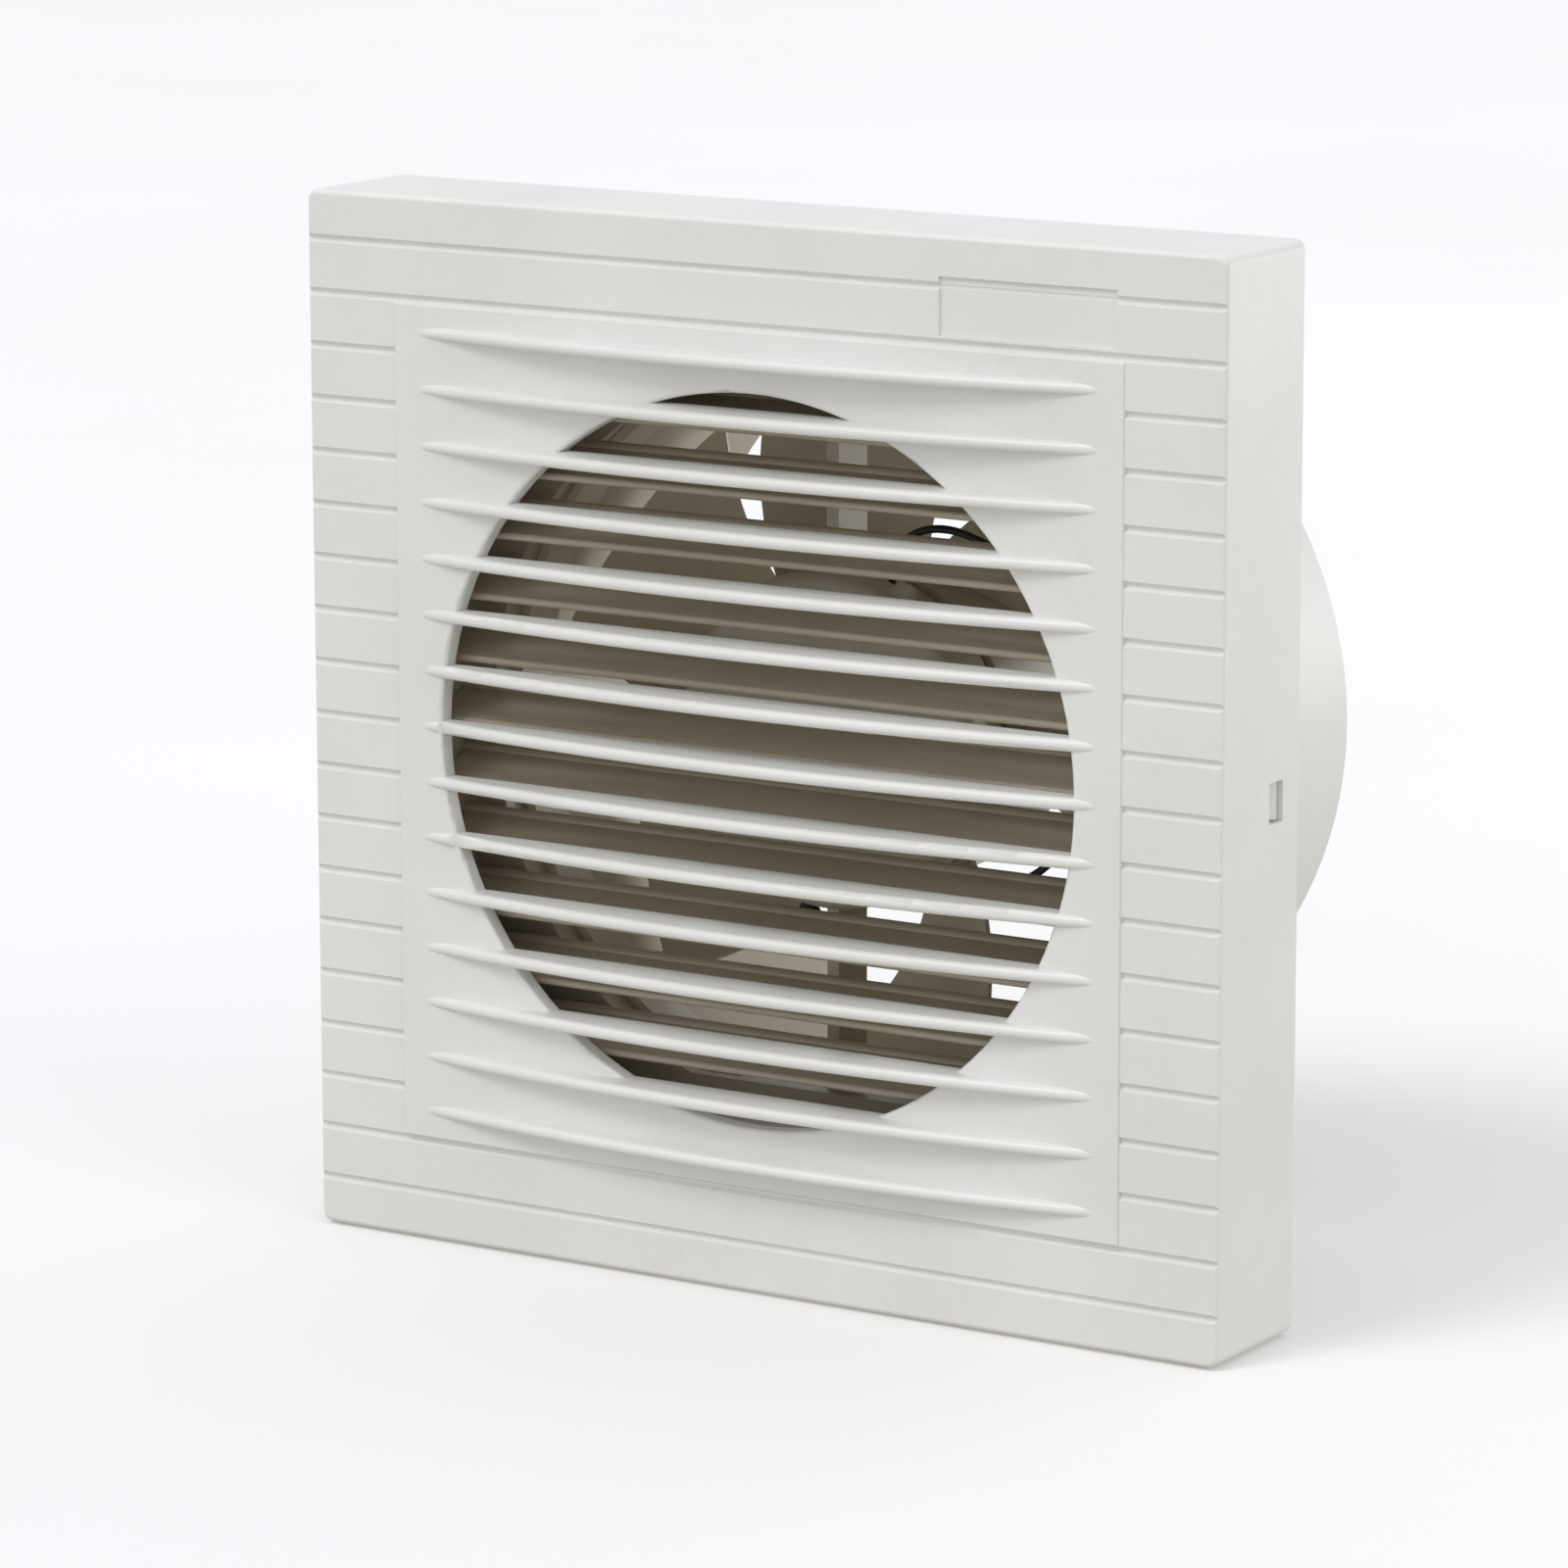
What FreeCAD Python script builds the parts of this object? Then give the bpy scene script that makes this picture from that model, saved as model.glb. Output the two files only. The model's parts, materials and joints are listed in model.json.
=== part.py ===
"""Axial bathroom extractor fan for a 120 mm duct, with a moulded louvre cover and an automatic inner shutter.

Millimetres. +Z is up and the grille faces -Y. The origin is on the duct axis, in the wall plane that the
back of the casing stands against: the casing is in front of it (y < 0), the duct spigot behind it (y > 0).
Each piece is written to parts/NODE.step.
"""
import FreeCAD, Part
import math
import os
from FreeCAD import Vector as V

# ---- casing -------------------------------------------------------------------------------------
BAND_PITCH = 8.0            # spacing of the decorative grooves
GROOVE_COUNT = 19
END_BAND = 7.25             # first and last band, from groove to edge
CASE_W = 156.0
CASE_DEPTH = 22.6           # front face to wall plane
COVER_WALL = 2.2
CORNER_R = 1.6              # corners between the side walls
FRONT_EDGE_R = 0.8
GROOVE_W = 1.3
GROOVE_FLOOR_W = 0.4
GROOVE_DEPTH = 0.6
PANEL_MARGIN = 7.7          # panel beyond the opening at each side
PANEL_RAISE = 0.4           # panel stands out of the frame around it
PANEL_EDGE_R = 0.25
PANEL_LAP = 1.0             # how far the panel runs over the frame around it
OPENING_INSET = 4.9         # opening's radius is this much less than the duct's outside
OPENING_EDGE_R = 0.6
FIN_COUNT = 15
FIN_END_INSET = 4.0         # fin tips to the panel's edge
FIN_RISE = 4.8              # how far the crest stands out at the centre
FIN_NOSE_R = 0.95
FIN_ROOT_T = 2.3
FIN_BACK_INSET = 0.5        # fins end short of the panel's back face
LABEL_W, LABEL_H, LABEL_DEPTH = 29.0, 8.4, 0.5
LABEL_INSET = 1.2           # label recess to the panel's right edge line
LABEL_DROP = 2.8            # its middle below the first groove
CLIP_SLOT_D, CLIP_SLOT_H = 4.0, 6.0
CLIP_SLOT_FRONT = 4.1       # middle of the snap slot in front of the back plate
CLIP_GAP = 0.3
CLIP_T = 1.4                # spring tab of the snap
CLIP_TAB_GAP = 0.5          # between the tab and the cover's wall
CLIP_REACH = 1.4            # how far the nose enters the slot

# ---- rear housing -------------------------------------------------------------------------------
PLATE_T = 2.5
PLATE_GAP = 0.3             # between the back plate and the cover's walls
DUCT_R = 59.2               # outside of the spigot
DUCT_WALL = 2.0
DUCT_LENGTH = 51.0
DUCT_END_R = 0.6
COLLAR = 2.0                # duct stands this far in front of the back plate
STOP_RIB_T, STOP_RIB_W, STOP_RIB_L = 1.0, 3.0, 2.0
WALL_SCREW_R = 2.25
WALL_SCREW_INSET_X, WALL_SCREW_INSET_Z = 6.8, 11.05   # from the cover's inner walls
CABLE_R = 4.6
CABLE_FROM_SCREW = 13.0
CABLE_INSET_Z = 7.05
BOSS_R, SCREW_PILOT_R = 3.2, 1.2
LEAD_NOTCH_Z = (-33.4, -25.6)
LEAD_NOTCH_DEPTH = 0.8      # the notch's floor behind the plate's front

# ---- motor bracket ------------------------------------------------------------------------------
STRUT_T = 2.0
STRUT_Y0, STRUT_DEPTH = 0.3, 8.0
RIM_WALL, RIM_GAP = 1.4, 0.05
RING_WALL = 3.3
RING_GAP = 0.2              # between the motor ring and the stator
RING_LENGTH = 9.0
RING_LIP_T, RING_LIP_W = 1.6, 5.9
LEAD_EXIT_Y = 4.6           # where the motor leads leave the ring
LEAD_EXIT_R = 1.6

# ---- shutter ------------------------------------------------------------------------------------
SLAT_COUNT = 11
SHUTTER_MARGIN = 6.95       # aperture's height that the slats leave over
SLAT_OPEN = 20.0            # degrees below level, front edge low
SLAT_TRAVEL = 55.0          # degrees from open to shut
SLAT_T = 1.0
SLAT_BACK = 1.0             # blade behind the pivot
SLAT_LAP = 0.05             # blade in front of the pivot is longer than the pitch by this
SLAT_BEAD_R = 0.6
SLAT_GAP_RIGHT, SLAT_GAP_LEFT = 4.7, 0.8   # blade ends to the cheeks
PIVOT_FRONT = 2.7           # pivots in front of the frame's flange
PIVOT_MID_Z = 3.8           # height of the middle pivot
PIVOT_R = 1.1
RUN_GAP = 0.06              # radial running clearance
CHEEK_T = 2.0
CHEEK_OUT = 0.2             # cheeks stand outside the duct's outline
ROD_OVER = 0.3              # rod stands out of the cheek
CRANK_R, CRANK_ANGLE = 5.0, 30.0  # tie bar pins, degrees above level when open
CRANK_PIN_R = 0.9
LUG_T, LUG_R = 1.2, 1.5
SIDE_GAP = 0.4
BAR_T, BAR_HALF = 2.0, 1.8
FRAME_FLANGE_T = 2.0
FRAME_FLANGE_OUT = 1.1      # flange beyond the cheeks
FRAME_FRONT_GAP = 0.2       # frame to the back of the cover's panel
RAIL_T = 1.6
RAIL_OVER, RAIL_UNDER = 5.05, 1.25         # rails clear the first pivot and the last blade
FLANGE_NOTCH_Z = 2.0        # lead notch in the lower flange starts this far below the rail
FRAME_SCREW_INSET = 9.4     # frame screws inside the cheeks
FRAME_SCREW_OUT = 4.0       # screw centre beyond the rail
APERTURE_LIP = 1.2          # flange overlaps the duct's bore by this
APERTURE_UNDER_TOP, APERTURE_OVER_LOW = 5.1, 2.8

# ---- shutter drive ------------------------------------------------------------------------------
DRIVE_SLAT = 8
LEVER_R, LEVER_T = 6.0, 2.4
LEVER_HUB_R, LEVER_PIN_R = 2.2, 1.2
ACTUATOR_R, ACTUATOR_L = 3.5, 24.0
ACTUATOR_GAP = 0.2          # between the actuator and the frame's flange
ACTUATOR_FIT = 0.05
PLUNGER_R = 1.6
PLUNGER_GAP = 0.1
PLUNGER_BORE_L = 14.0
SHELF_T = 1.8
SPRING_R, SPRING_WIRE_R, SPRING_TURNS = 1.7, 0.28, 14
SPRING_SIDE_GAP = 0.5       # between the spring and the actuator

# ---- motor --------------------------------------------------------------------------------------
CAP_Y = -2.8                # front of the motor cap
CAP_T = 1.2
CAP_WALL = 1.4
CAP_SKIRT = 2.6             # how far its rim runs back over the motor ring
CAP_EDGE_R = 2.2
CAP_FIT = 0.03
STATOR_R, STATOR_BORE, STATOR_Y0, STATOR_L = 20.5, 10.2, 6.0, 12.0
YOKE_T = 4.5
POLE_W, SHOE_T, SHOE_GAP = 6.4, 2.2, 3.6
COIL_SIDE, COIL_OVER = 1.6, 2.4
AIR_GAP = 0.3               # between rotor and stator
SHAFT_R, SHAFT_Y0, SHAFT_OVER = 2.0, 0.6, 0.8
BUSH_WALL, BUSH_L = 2.2, 4.0
BUSH_RUN_GAP = 0.03
SHIELD_T = 1.6
BOLT_R, BOLT_INSET = 1.3, 2.25
BOLT_GAP = 0.1
EYE_R = 2.4                 # spacers and the eyes of the end shields
END_PLAY = 0.15
END_RING_T = 1.4
WASHER_T, WASHER_WALL = 0.5, 1.6

# ---- impeller -----------------------------------------------------------------------------------
BLADES = 6
HUB_OVER, HUB_WALL = 0.5, 1.5   # hub's radius beyond the motor ring's
HUB_Y0, HUB_Y1 = 10.6, 31.0
HUB_FLOOR_T = 1.8
BLADE_TIP_GAP = 2.0
BLADE_T = 1.5
BLADE_MID_Y = 20.5
ROTOR_PHASE = -24.0          # degrees
NUT_L = 3.2

# ---- electrics ----------------------------------------------------------------------------------
BLOCK_X = 33.0
BLOCK_W, BLOCK_H, BLOCK_D = 20.0, 10.0, 12.5
BLOCK_INSET_Z = 6.45        # its middle above the cover's lower wall
BLOCK_FOOT = 1.0
TERMINAL_SPACING = 12.8
TERMINAL_BORE_R = 1.8
TERMINAL_BORE_DEPTH = 5.0   # bore axis in front of the block's back
GROMMET_WALL = 1.4
LEAD_R = 0.6

# ---- worked-out places --------------------------------------------------------------------------
CASE_H = (GROOVE_COUNT - 1) * BAND_PITCH + 2 * END_BAND
FRONT_Y = -CASE_DEPTH
PANEL_Y = FRONT_Y - PANEL_RAISE
PANEL_BACK_Y = FRONT_Y + COVER_WALL
OPENING_R = DUCT_R - OPENING_INSET
PANEL_W = 2 * (OPENING_R + PANEL_MARGIN)
PANEL_HALF_H = (GROOVE_COUNT - 3) / 2 * BAND_PITCH - GROOVE_W / 2
FIN_HALF = PANEL_W / 2 - FIN_END_INSET
FIN_PITCH = 2 * PANEL_HALF_H / FIN_COUNT
LABEL_X = PANEL_W / 2 - LABEL_INSET - LABEL_W / 2
LABEL_Z = (GROOVE_COUNT - 1) / 2 * BAND_PITCH - LABEL_DROP
INNER_HALF_W = CASE_W / 2 - COVER_WALL
INNER_HALF_H = CASE_H / 2 - COVER_WALL
CLIP_SLOT_Y = -PLATE_T - CLIP_SLOT_FRONT
WALL_SCREW_X = INNER_HALF_W - WALL_SCREW_INSET_X
WALL_SCREW_Z = INNER_HALF_H - WALL_SCREW_INSET_Z
CABLE_X = WALL_SCREW_X - CABLE_FROM_SCREW
CABLE_Z = -(INNER_HALF_H - CABLE_INSET_Z)
DUCT_BORE = DUCT_R - DUCT_WALL
COLLAR_Y = -PLATE_T - COLLAR
RIM_R = DUCT_BORE - RIM_GAP
RING_BORE = STATOR_R + RING_GAP
RING_R = RING_BORE + RING_WALL
FLANGE_Y1 = COLLAR_Y
FLANGE_Y0 = FLANGE_Y1 - FRAME_FLANGE_T
FRAME_Y0 = PANEL_BACK_Y + FRAME_FRONT_GAP
APERTURE_R = DUCT_BORE - APERTURE_LIP
SLAT_PITCH = (2 * APERTURE_R - SHUTTER_MARGIN) / SLAT_COUNT
SLAT_CHORD = SLAT_PITCH + SLAT_LAP
PIVOT_Y = FLANGE_Y0 - PIVOT_FRONT
CHEEK_X = DUCT_R + CHEEK_OUT
SLAT_END = CHEEK_X - SLAT_GAP_RIGHT
SLAT_LEFT = CHEEK_X - SLAT_GAP_LEFT
FRAME_HALF_W = CHEEK_X + CHEEK_T + FRAME_FLANGE_OUT
FRAME_SCREW_X = CHEEK_X - FRAME_SCREW_INSET
HALF_STACK = (SLAT_COUNT - 1) / 2 * SLAT_PITCH
RAIL_TOP_Z = PIVOT_MID_Z + HALF_STACK + RAIL_OVER
RAIL_LOW_Z = PIVOT_MID_Z - HALF_STACK - SLAT_CHORD - RAIL_UNDER
APERTURE_TOP = RAIL_TOP_Z - APERTURE_UNDER_TOP
APERTURE_LOW = RAIL_LOW_Z + APERTURE_OVER_LOW
LUG_X = SLAT_END + 0.2
BAR_X0 = LUG_X + LUG_T + SIDE_GAP
BAR_X1 = BAR_X0 + BAR_T
LEVER_X = CHEEK_X + CHEEK_T + SIDE_GAP
ACTUATOR_X = FRAME_HALF_W + ACTUATOR_GAP + ACTUATOR_R
SPRING_X = ACTUATOR_X + ACTUATOR_R + SPRING_SIDE_GAP + SPRING_R + SPRING_WIRE_R
BOLT_CIRCLE = STATOR_R - BOLT_INSET
ROTOR_R = STATOR_BORE - AIR_GAP
STATOR_Y1 = STATOR_Y0 + STATOR_L
FRONT_SHIELD_Y = RING_LIP_T
REAR_SHIELD_Y = STATOR_Y1 + COIL_OVER + 0.3
FRONT_BUSH_Y = STATOR_Y0 - END_RING_T - WASHER_T - END_PLAY - BUSH_L
REAR_BUSH_Y = STATOR_Y1 + END_RING_T + WASHER_T + END_PLAY
BUSH_R = SHAFT_R + BUSH_WALL
WASHER_R = SHAFT_R + WASHER_WALL
HUB_R = RING_R + HUB_OVER
NUT_R = 2 * SHAFT_R
NUT_Y = HUB_Y1 + 1.0
SHAFT_Y1 = NUT_Y + NUT_L + SHAFT_OVER
BLOCK_Z = -(INNER_HALF_H - BLOCK_INSET_Z)
BLOCK_BACK_Y = -PLATE_T - BLOCK_FOOT


def pivot_z(number):
    """Height of a slat's pivot; slats are numbered from 1 at the top."""
    return PIVOT_MID_Z + ((SLAT_COUNT + 1) / 2 - number) * SLAT_PITCH


def front_down(angle, distance, x, z):
    """A point that lies `distance` from the pivot axis at height z, `angle` degrees below level towards the front."""
    a = math.radians(angle)
    return V(x, PIVOT_Y - distance * math.cos(a), z - distance * math.sin(a))


def box(x0, x1, y0, y1, z0, z1):
    return Part.makeBox(x1 - x0, y1 - y0, z1 - z0, V(x0, y0, z0))


def rod(radius, start, end):
    """A round bar between two points."""
    along = end - start
    return Part.makeCylinder(radius, along.Length, start, along)


def rod_y(radius, y0, y1, x=0.0, z=0.0):
    return rod(radius, V(x, y0, z), V(x, y1, z))


def rod_x(radius, x0, x1, y, z):
    return rod(radius, V(x0, y, z), V(x1, y, z))


def tube_y(outer, inner, y0, y1, x=0.0, z=0.0):
    return rod_y(outer, y0, y1, x, z).cut(rod_y(inner, y0 - 1, y1 + 1, x, z))


def prism_x(points, x0, x1):
    """A straight prism along X from a closed outline of (y, z) points."""
    corners = [V(x0, y, z) for y, z in points]
    return Part.Face(Part.makePolygon(corners + corners[:1])).extrude(V(x1 - x0, 0, 0))


def fuse(shapes):
    """Joined one at a time, because all at once can drop a piece whose edges meet another's."""
    made = shapes[0]
    for shape in shapes[1:]:
        made = made.fuse(shape)
    return made.removeSplitter() if len(shapes) > 1 else made


def edges_where(shape, test):
    return [e for e in shape.Edges if test(e)]


def export(node, shape):
    solids = shape.Solids
    made = solids[0] if len(solids) == 1 else Part.makeCompound(solids)
    made.exportStep(os.path.join("parts", node + ".step"))
    print(f"{node}: {len(solids)} solid(s), {sum(s.Volume for s in solids) / 1000:.2f} cm3, valid {made.isValid()}")


# ---- front cover --------------------------------------------------------------------------------
def fin(z):
    """One louvre fin: a round-nosed profile turned about an upright axis, so that it runs out at both tips."""
    radius = (FIN_HALF ** 2 + FIN_RISE ** 2) / (2 * FIN_RISE)
    crest = PANEL_Y - FIN_RISE
    centre_y = crest + radius
    nose_y = crest + FIN_NOSE_R
    back = crest + FIN_RISE + PANEL_RAISE + 2 * COVER_WALL
    half = FIN_ROOT_T / 2
    top, low = V(0, nose_y, z + FIN_NOSE_R), V(0, nose_y, z - FIN_NOSE_R)
    outline = Part.Wire([
        Part.LineSegment(V(0, back, z - half), low).toShape(),
        Part.Arc(low, V(0, crest, z), top).toShape(),
        Part.LineSegment(top, V(0, back, z + half)).toShape(),
        Part.LineSegment(V(0, back, z + half), V(0, back, z - half)).toShape(),
    ])
    sweep = math.degrees(math.asin((FIN_HALF + 0.5) / radius))
    face = Part.Face(outline)
    axis_at, axis = V(0, centre_y, z), V(0, 0, 1)
    face.rotate(axis_at, axis, -sweep)
    turned = face.revolve(axis_at, axis, 2 * sweep)
    keep = box(-FIN_HALF - 5, FIN_HALF + 5, crest - 1, PANEL_BACK_Y - FIN_BACK_INSET, z - 3, z + 3)
    return turned.common(keep)


def front_cover():
    outer = box(-CASE_W / 2, CASE_W / 2, FRONT_Y, 0, -CASE_H / 2, CASE_H / 2)
    corners = edges_where(outer, lambda e: abs(e.tangentAt(e.FirstParameter).y) > 0.9)
    outer = outer.makeFillet(CORNER_R, corners)
    rim = edges_where(outer, lambda e: abs(e.BoundBox.YMin - FRONT_Y) < 1e-6 and e.BoundBox.YLength < 1e-6)
    outer = outer.makeFillet(FRONT_EDGE_R, rim)
    hollow = box(-INNER_HALF_W, INNER_HALF_W, PANEL_BACK_Y, 1, -INNER_HALF_H, INNER_HALF_H)
    window = box(-PANEL_W / 2 + PANEL_LAP, PANEL_W / 2 - PANEL_LAP, FRONT_Y - 1, PANEL_BACK_Y + 1,
                 -PANEL_HALF_H + PANEL_LAP, PANEL_HALF_H - PANEL_LAP)
    cuts = [hollow, window]
    for k in range(GROOVE_COUNT):
        z = (k - (GROOVE_COUNT - 1) / 2) * BAND_PITCH
        w, f, d = GROOVE_W / 2, GROOVE_FLOOR_W / 2, GROOVE_DEPTH
        cuts.append(prism_x([(FRONT_Y - 1, z - w), (FRONT_Y, z - w), (FRONT_Y + d, z - f), (FRONT_Y + d, z + f),
                             (FRONT_Y, z + w), (FRONT_Y - 1, z + w)], -CASE_W, CASE_W))
    cuts.append(box(LABEL_X - LABEL_W / 2, LABEL_X + LABEL_W / 2, FRONT_Y - 1, FRONT_Y + LABEL_DEPTH,
                    LABEL_Z - LABEL_H / 2, LABEL_Z + LABEL_H / 2))
    for side in (-1, 1):
        x0, x1 = sorted((side * (INNER_HALF_W - 1), side * (CASE_W / 2 + 1)))
        cuts.append(box(x0, x1, CLIP_SLOT_Y - CLIP_SLOT_D / 2, CLIP_SLOT_Y + CLIP_SLOT_D / 2,
                        -CLIP_SLOT_H / 2, CLIP_SLOT_H / 2))
    shell = outer.cut(cuts)

    panel = box(-PANEL_W / 2, PANEL_W / 2, PANEL_Y, PANEL_BACK_Y, -PANEL_HALF_H, PANEL_HALF_H)
    panel = panel.cut(rod_y(OPENING_R, PANEL_Y - 1, PANEL_BACK_Y + 1))
    on_front = lambda e: abs(e.BoundBox.YMin - PANEL_Y) < 1e-6 and e.BoundBox.YLength < 1e-6
    straight = edges_where(panel, lambda e: on_front(e) and e.Curve.TypeId == "Part::GeomLine")
    panel = panel.makeFillet(PANEL_EDGE_R, straight)
    circle = edges_where(panel, lambda e: on_front(e) and e.Curve.TypeId == "Part::GeomCircle")
    panel = panel.makeFillet(OPENING_EDGE_R, circle)
    fins = [fin((k - (FIN_COUNT - 1) / 2) * FIN_PITCH) for k in range(FIN_COUNT)]
    return fuse([shell, panel] + fins)


# ---- rear housing -------------------------------------------------------------------------------
def clip_tab(side):
    """Spring tab on the back plate whose nose snaps into the cover's side slot."""
    tab_x1 = INNER_HALF_W - CLIP_TAB_GAP
    tab_x0 = tab_x1 - CLIP_T
    half = CLIP_SLOT_H / 2 - CLIP_GAP
    nose_y0 = CLIP_SLOT_Y - CLIP_SLOT_D / 2 + CLIP_GAP
    nose_y1 = CLIP_SLOT_Y + CLIP_SLOT_D / 2 - CLIP_GAP
    tab = box(tab_x0, tab_x1, nose_y0, -PLATE_T + 0.5, -half, half)
    reach = INNER_HALF_W + CLIP_REACH
    corners = [V(tab_x1 - 0.5, nose_y0, -half), V(tab_x1, nose_y0, -half), V(reach, nose_y1 - 0.8, -half),
               V(reach, nose_y1, -half), V(tab_x1 - 0.5, nose_y1, -half)]
    nose = Part.Face(Part.makePolygon(corners + corners[:1])).extrude(V(0, 0, 2 * half))
    made = tab.fuse(nose)
    return made if side > 0 else made.mirror(V(0, 0, 0), V(1, 0, 0))


def frame_screw_places():
    top = RAIL_TOP_Z + RAIL_T + FRAME_SCREW_OUT
    low = RAIL_LOW_Z - RAIL_T - FRAME_SCREW_OUT
    return [(x, z) for x in (-FRAME_SCREW_X, FRAME_SCREW_X) for z in (low, top)]


def bolt_places():
    a = [math.radians(45 + 90 * k) for k in range(4)]
    return [(BOLT_CIRCLE * math.cos(t), BOLT_CIRCLE * math.sin(t)) for t in a]


def rear_housing():
    half_w, half_h = INNER_HALF_W - PLATE_GAP, INNER_HALF_H - PLATE_GAP
    plate = box(-half_w, half_w, -PLATE_T, 0, -half_h, half_h)
    duct = rod_y(DUCT_R, COLLAR_Y, DUCT_LENGTH)
    bosses = [rod_y(BOSS_R, COLLAR_Y, -PLATE_T + 0.5, x, z) for x, z in frame_screw_places()]
    foot = rod_y(BOSS_R, BLOCK_BACK_Y, -PLATE_T + 0.5, BLOCK_X, BLOCK_Z)
    shell = fuse([plate, duct, foot] + bosses + [clip_tab(-1), clip_tab(1)])
    shell = shell.cut(rod_y(DUCT_BORE, COLLAR_Y - 1, DUCT_LENGTH + 1))
    made = fuse([shell] + stop_ribs())
    holes = [rod_y(SCREW_PILOT_R, COLLAR_Y - 1, -0.7, x, z) for x, z in frame_screw_places()]
    holes.append(rod_y(SCREW_PILOT_R, BLOCK_BACK_Y - 1, -0.7, BLOCK_X, BLOCK_Z))
    holes += [rod_y(WALL_SCREW_R, -PLATE_T - 1, 1, side_x * WALL_SCREW_X, side_z * WALL_SCREW_Z)
              for side_x in (-1, 1) for side_z in (-1, 1)]
    holes.append(rod_y(CABLE_R + GROMMET_WALL, -PLATE_T - 1, 1, CABLE_X, CABLE_Z))
    holes.append(box(APERTURE_R * 0.7, DUCT_R + 0.8, COLLAR_Y - 1, -PLATE_T + LEAD_NOTCH_DEPTH, *LEAD_NOTCH_Z))
    made = made.cut(holes)
    end_edges = edges_where(made, lambda e: abs(e.BoundBox.YMin - DUCT_LENGTH) < 1e-6
                            and abs(e.BoundBox.XLength - 2 * DUCT_R) < 0.01)
    return made.makeFillet(DUCT_END_R, end_edges)


def stop_ribs():
    """Four short ribs in the duct that the motor bracket's rim is pushed up to."""
    y0 = STRUT_Y0 + STRUT_DEPTH
    made = []
    for k in range(4):
        rib = box(-STOP_RIB_W / 2, STOP_RIB_W / 2, y0, y0 + STOP_RIB_L, DUCT_BORE - STOP_RIB_T, DUCT_BORE + 0.5)
        rib.rotate(V(0, 0, 0), V(0, 1, 0), 45 + 90 * k)
        made.append(rib)
    return made


def motor_bracket():
    """Outer rim in the duct, four struts and the ring that holds the motor."""
    y0, y1 = STRUT_Y0, STRUT_Y0 + STRUT_DEPTH
    near, far, half = (RING_BORE + RING_R) / 2, RIM_R - RIM_WALL / 2, STRUT_T / 2
    struts = [box(-half, half, y0, y1, near, far), box(-half, half, y0, y1, -far, -near),
              box(near, far, y0, y1, -half, half), box(-far, -near, y0, y1, -half, half)]
    rim = tube_y(RIM_R, RIM_R - RIM_WALL, y0, y1)
    ring = tube_y(RING_R, RING_BORE, 0, RING_LENGTH)
    lip = tube_y(RING_BORE + 0.5, RING_BORE - RING_LIP_W, 0, RING_LIP_T)
    made = fuse([rim, ring, lip] + struts)
    holes = [rod_y(BOLT_R + BOLT_GAP, -1, RING_LIP_T + 1, x, z) for x, z in bolt_places()]
    for x, z in lead_exits():
        scale = (RING_R + 2) / math.hypot(x, z)
        hole = rod(LEAD_EXIT_R, V(0, LEAD_EXIT_Y, 0), V(x * scale, LEAD_EXIT_Y, z * scale))
        holes.append(hole.cut(rod_y(RING_BORE - 1, -1, RING_LENGTH + 1)))
    return made.cut(holes)


def lead_exits():
    """Where the two motor leads cross the ring, as (x, z)."""
    return [(RING_R * math.cos(math.radians(a)), RING_R * math.sin(math.radians(a))) for a in (72.0, -106.0)]


# ---- shutter ------------------------------------------------------------------------------------
def shutter_frame():
    low, top = RAIL_LOW_Z - RAIL_T, RAIL_TOP_Z + RAIL_T
    ear = FRAME_SCREW_OUT + BOSS_R
    flange = box(-FRAME_HALF_W, FRAME_HALF_W, FLANGE_Y0, FLANGE_Y1, low - ear, top + ear)
    aperture = rod_y(APERTURE_R, FLANGE_Y0 - 1, FLANGE_Y1 + 1).common(
        box(-CHEEK_X, CHEEK_X, FLANGE_Y0 - 2, FLANGE_Y1 + 2, APERTURE_LOW, APERTURE_TOP))
    flange = flange.cut(aperture)
    y1 = FLANGE_Y0 + 0.5
    cheeks = [box(x0, x0 + CHEEK_T, FRAME_Y0, y1, low, top) for x0 in (CHEEK_X, -CHEEK_X - CHEEK_T)]
    rails = [box(-CHEEK_X - 1, CHEEK_X + 1, FRAME_Y0, y1, z, z + RAIL_T) for z in (low, RAIL_TOP_Z)]
    actuator_low = actuator_top() - ACTUATOR_L
    shelf = box(CHEEK_X + 1, SPRING_X + SPRING_R, FRAME_Y0 + 0.4, y1, actuator_low - SHELF_T, actuator_low)
    gusset = box(CHEEK_X + 1, FRAME_HALF_W, FRAME_Y0 + 0.4, y1, actuator_low - SHELF_T, actuator_low + 14)
    made = fuse([flange] + cheeks + rails + [shelf, gusset])
    holes = [rod_x(PIVOT_R + RUN_GAP, x0 - 1, x0 + CHEEK_T + 1, PIVOT_Y, pivot_z(n))
             for n in range(1, SLAT_COUNT + 1) for x0 in (CHEEK_X, -CHEEK_X - CHEEK_T)]
    holes += [rod_y(SCREW_PILOT_R + 0.3, FLANGE_Y0 - 1, FLANGE_Y1 + 1, x, z) for x, z in frame_screw_places()]
    cx, cy = ACTUATOR_X, actuator_y()
    holes.append(rod(ACTUATOR_R + ACTUATOR_FIT, V(cx, cy, actuator_low), V(cx, cy, actuator_low + ACTUATOR_L)))
    holes += [rod(LEAD_R + 0.3, V(x, cy, actuator_low - SHELF_T - 1), V(x, cy, actuator_low + 1))
              for x in actuator_lead_places()]
    holes.append(box(BLOCK_X - TERMINAL_SPACING, BLOCK_X + TERMINAL_SPACING, FLANGE_Y0 - 1, FLANGE_Y1 + 1,
                     low - ear - 1, low - FLANGE_NOTCH_Z))
    return made.cut(holes)


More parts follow.
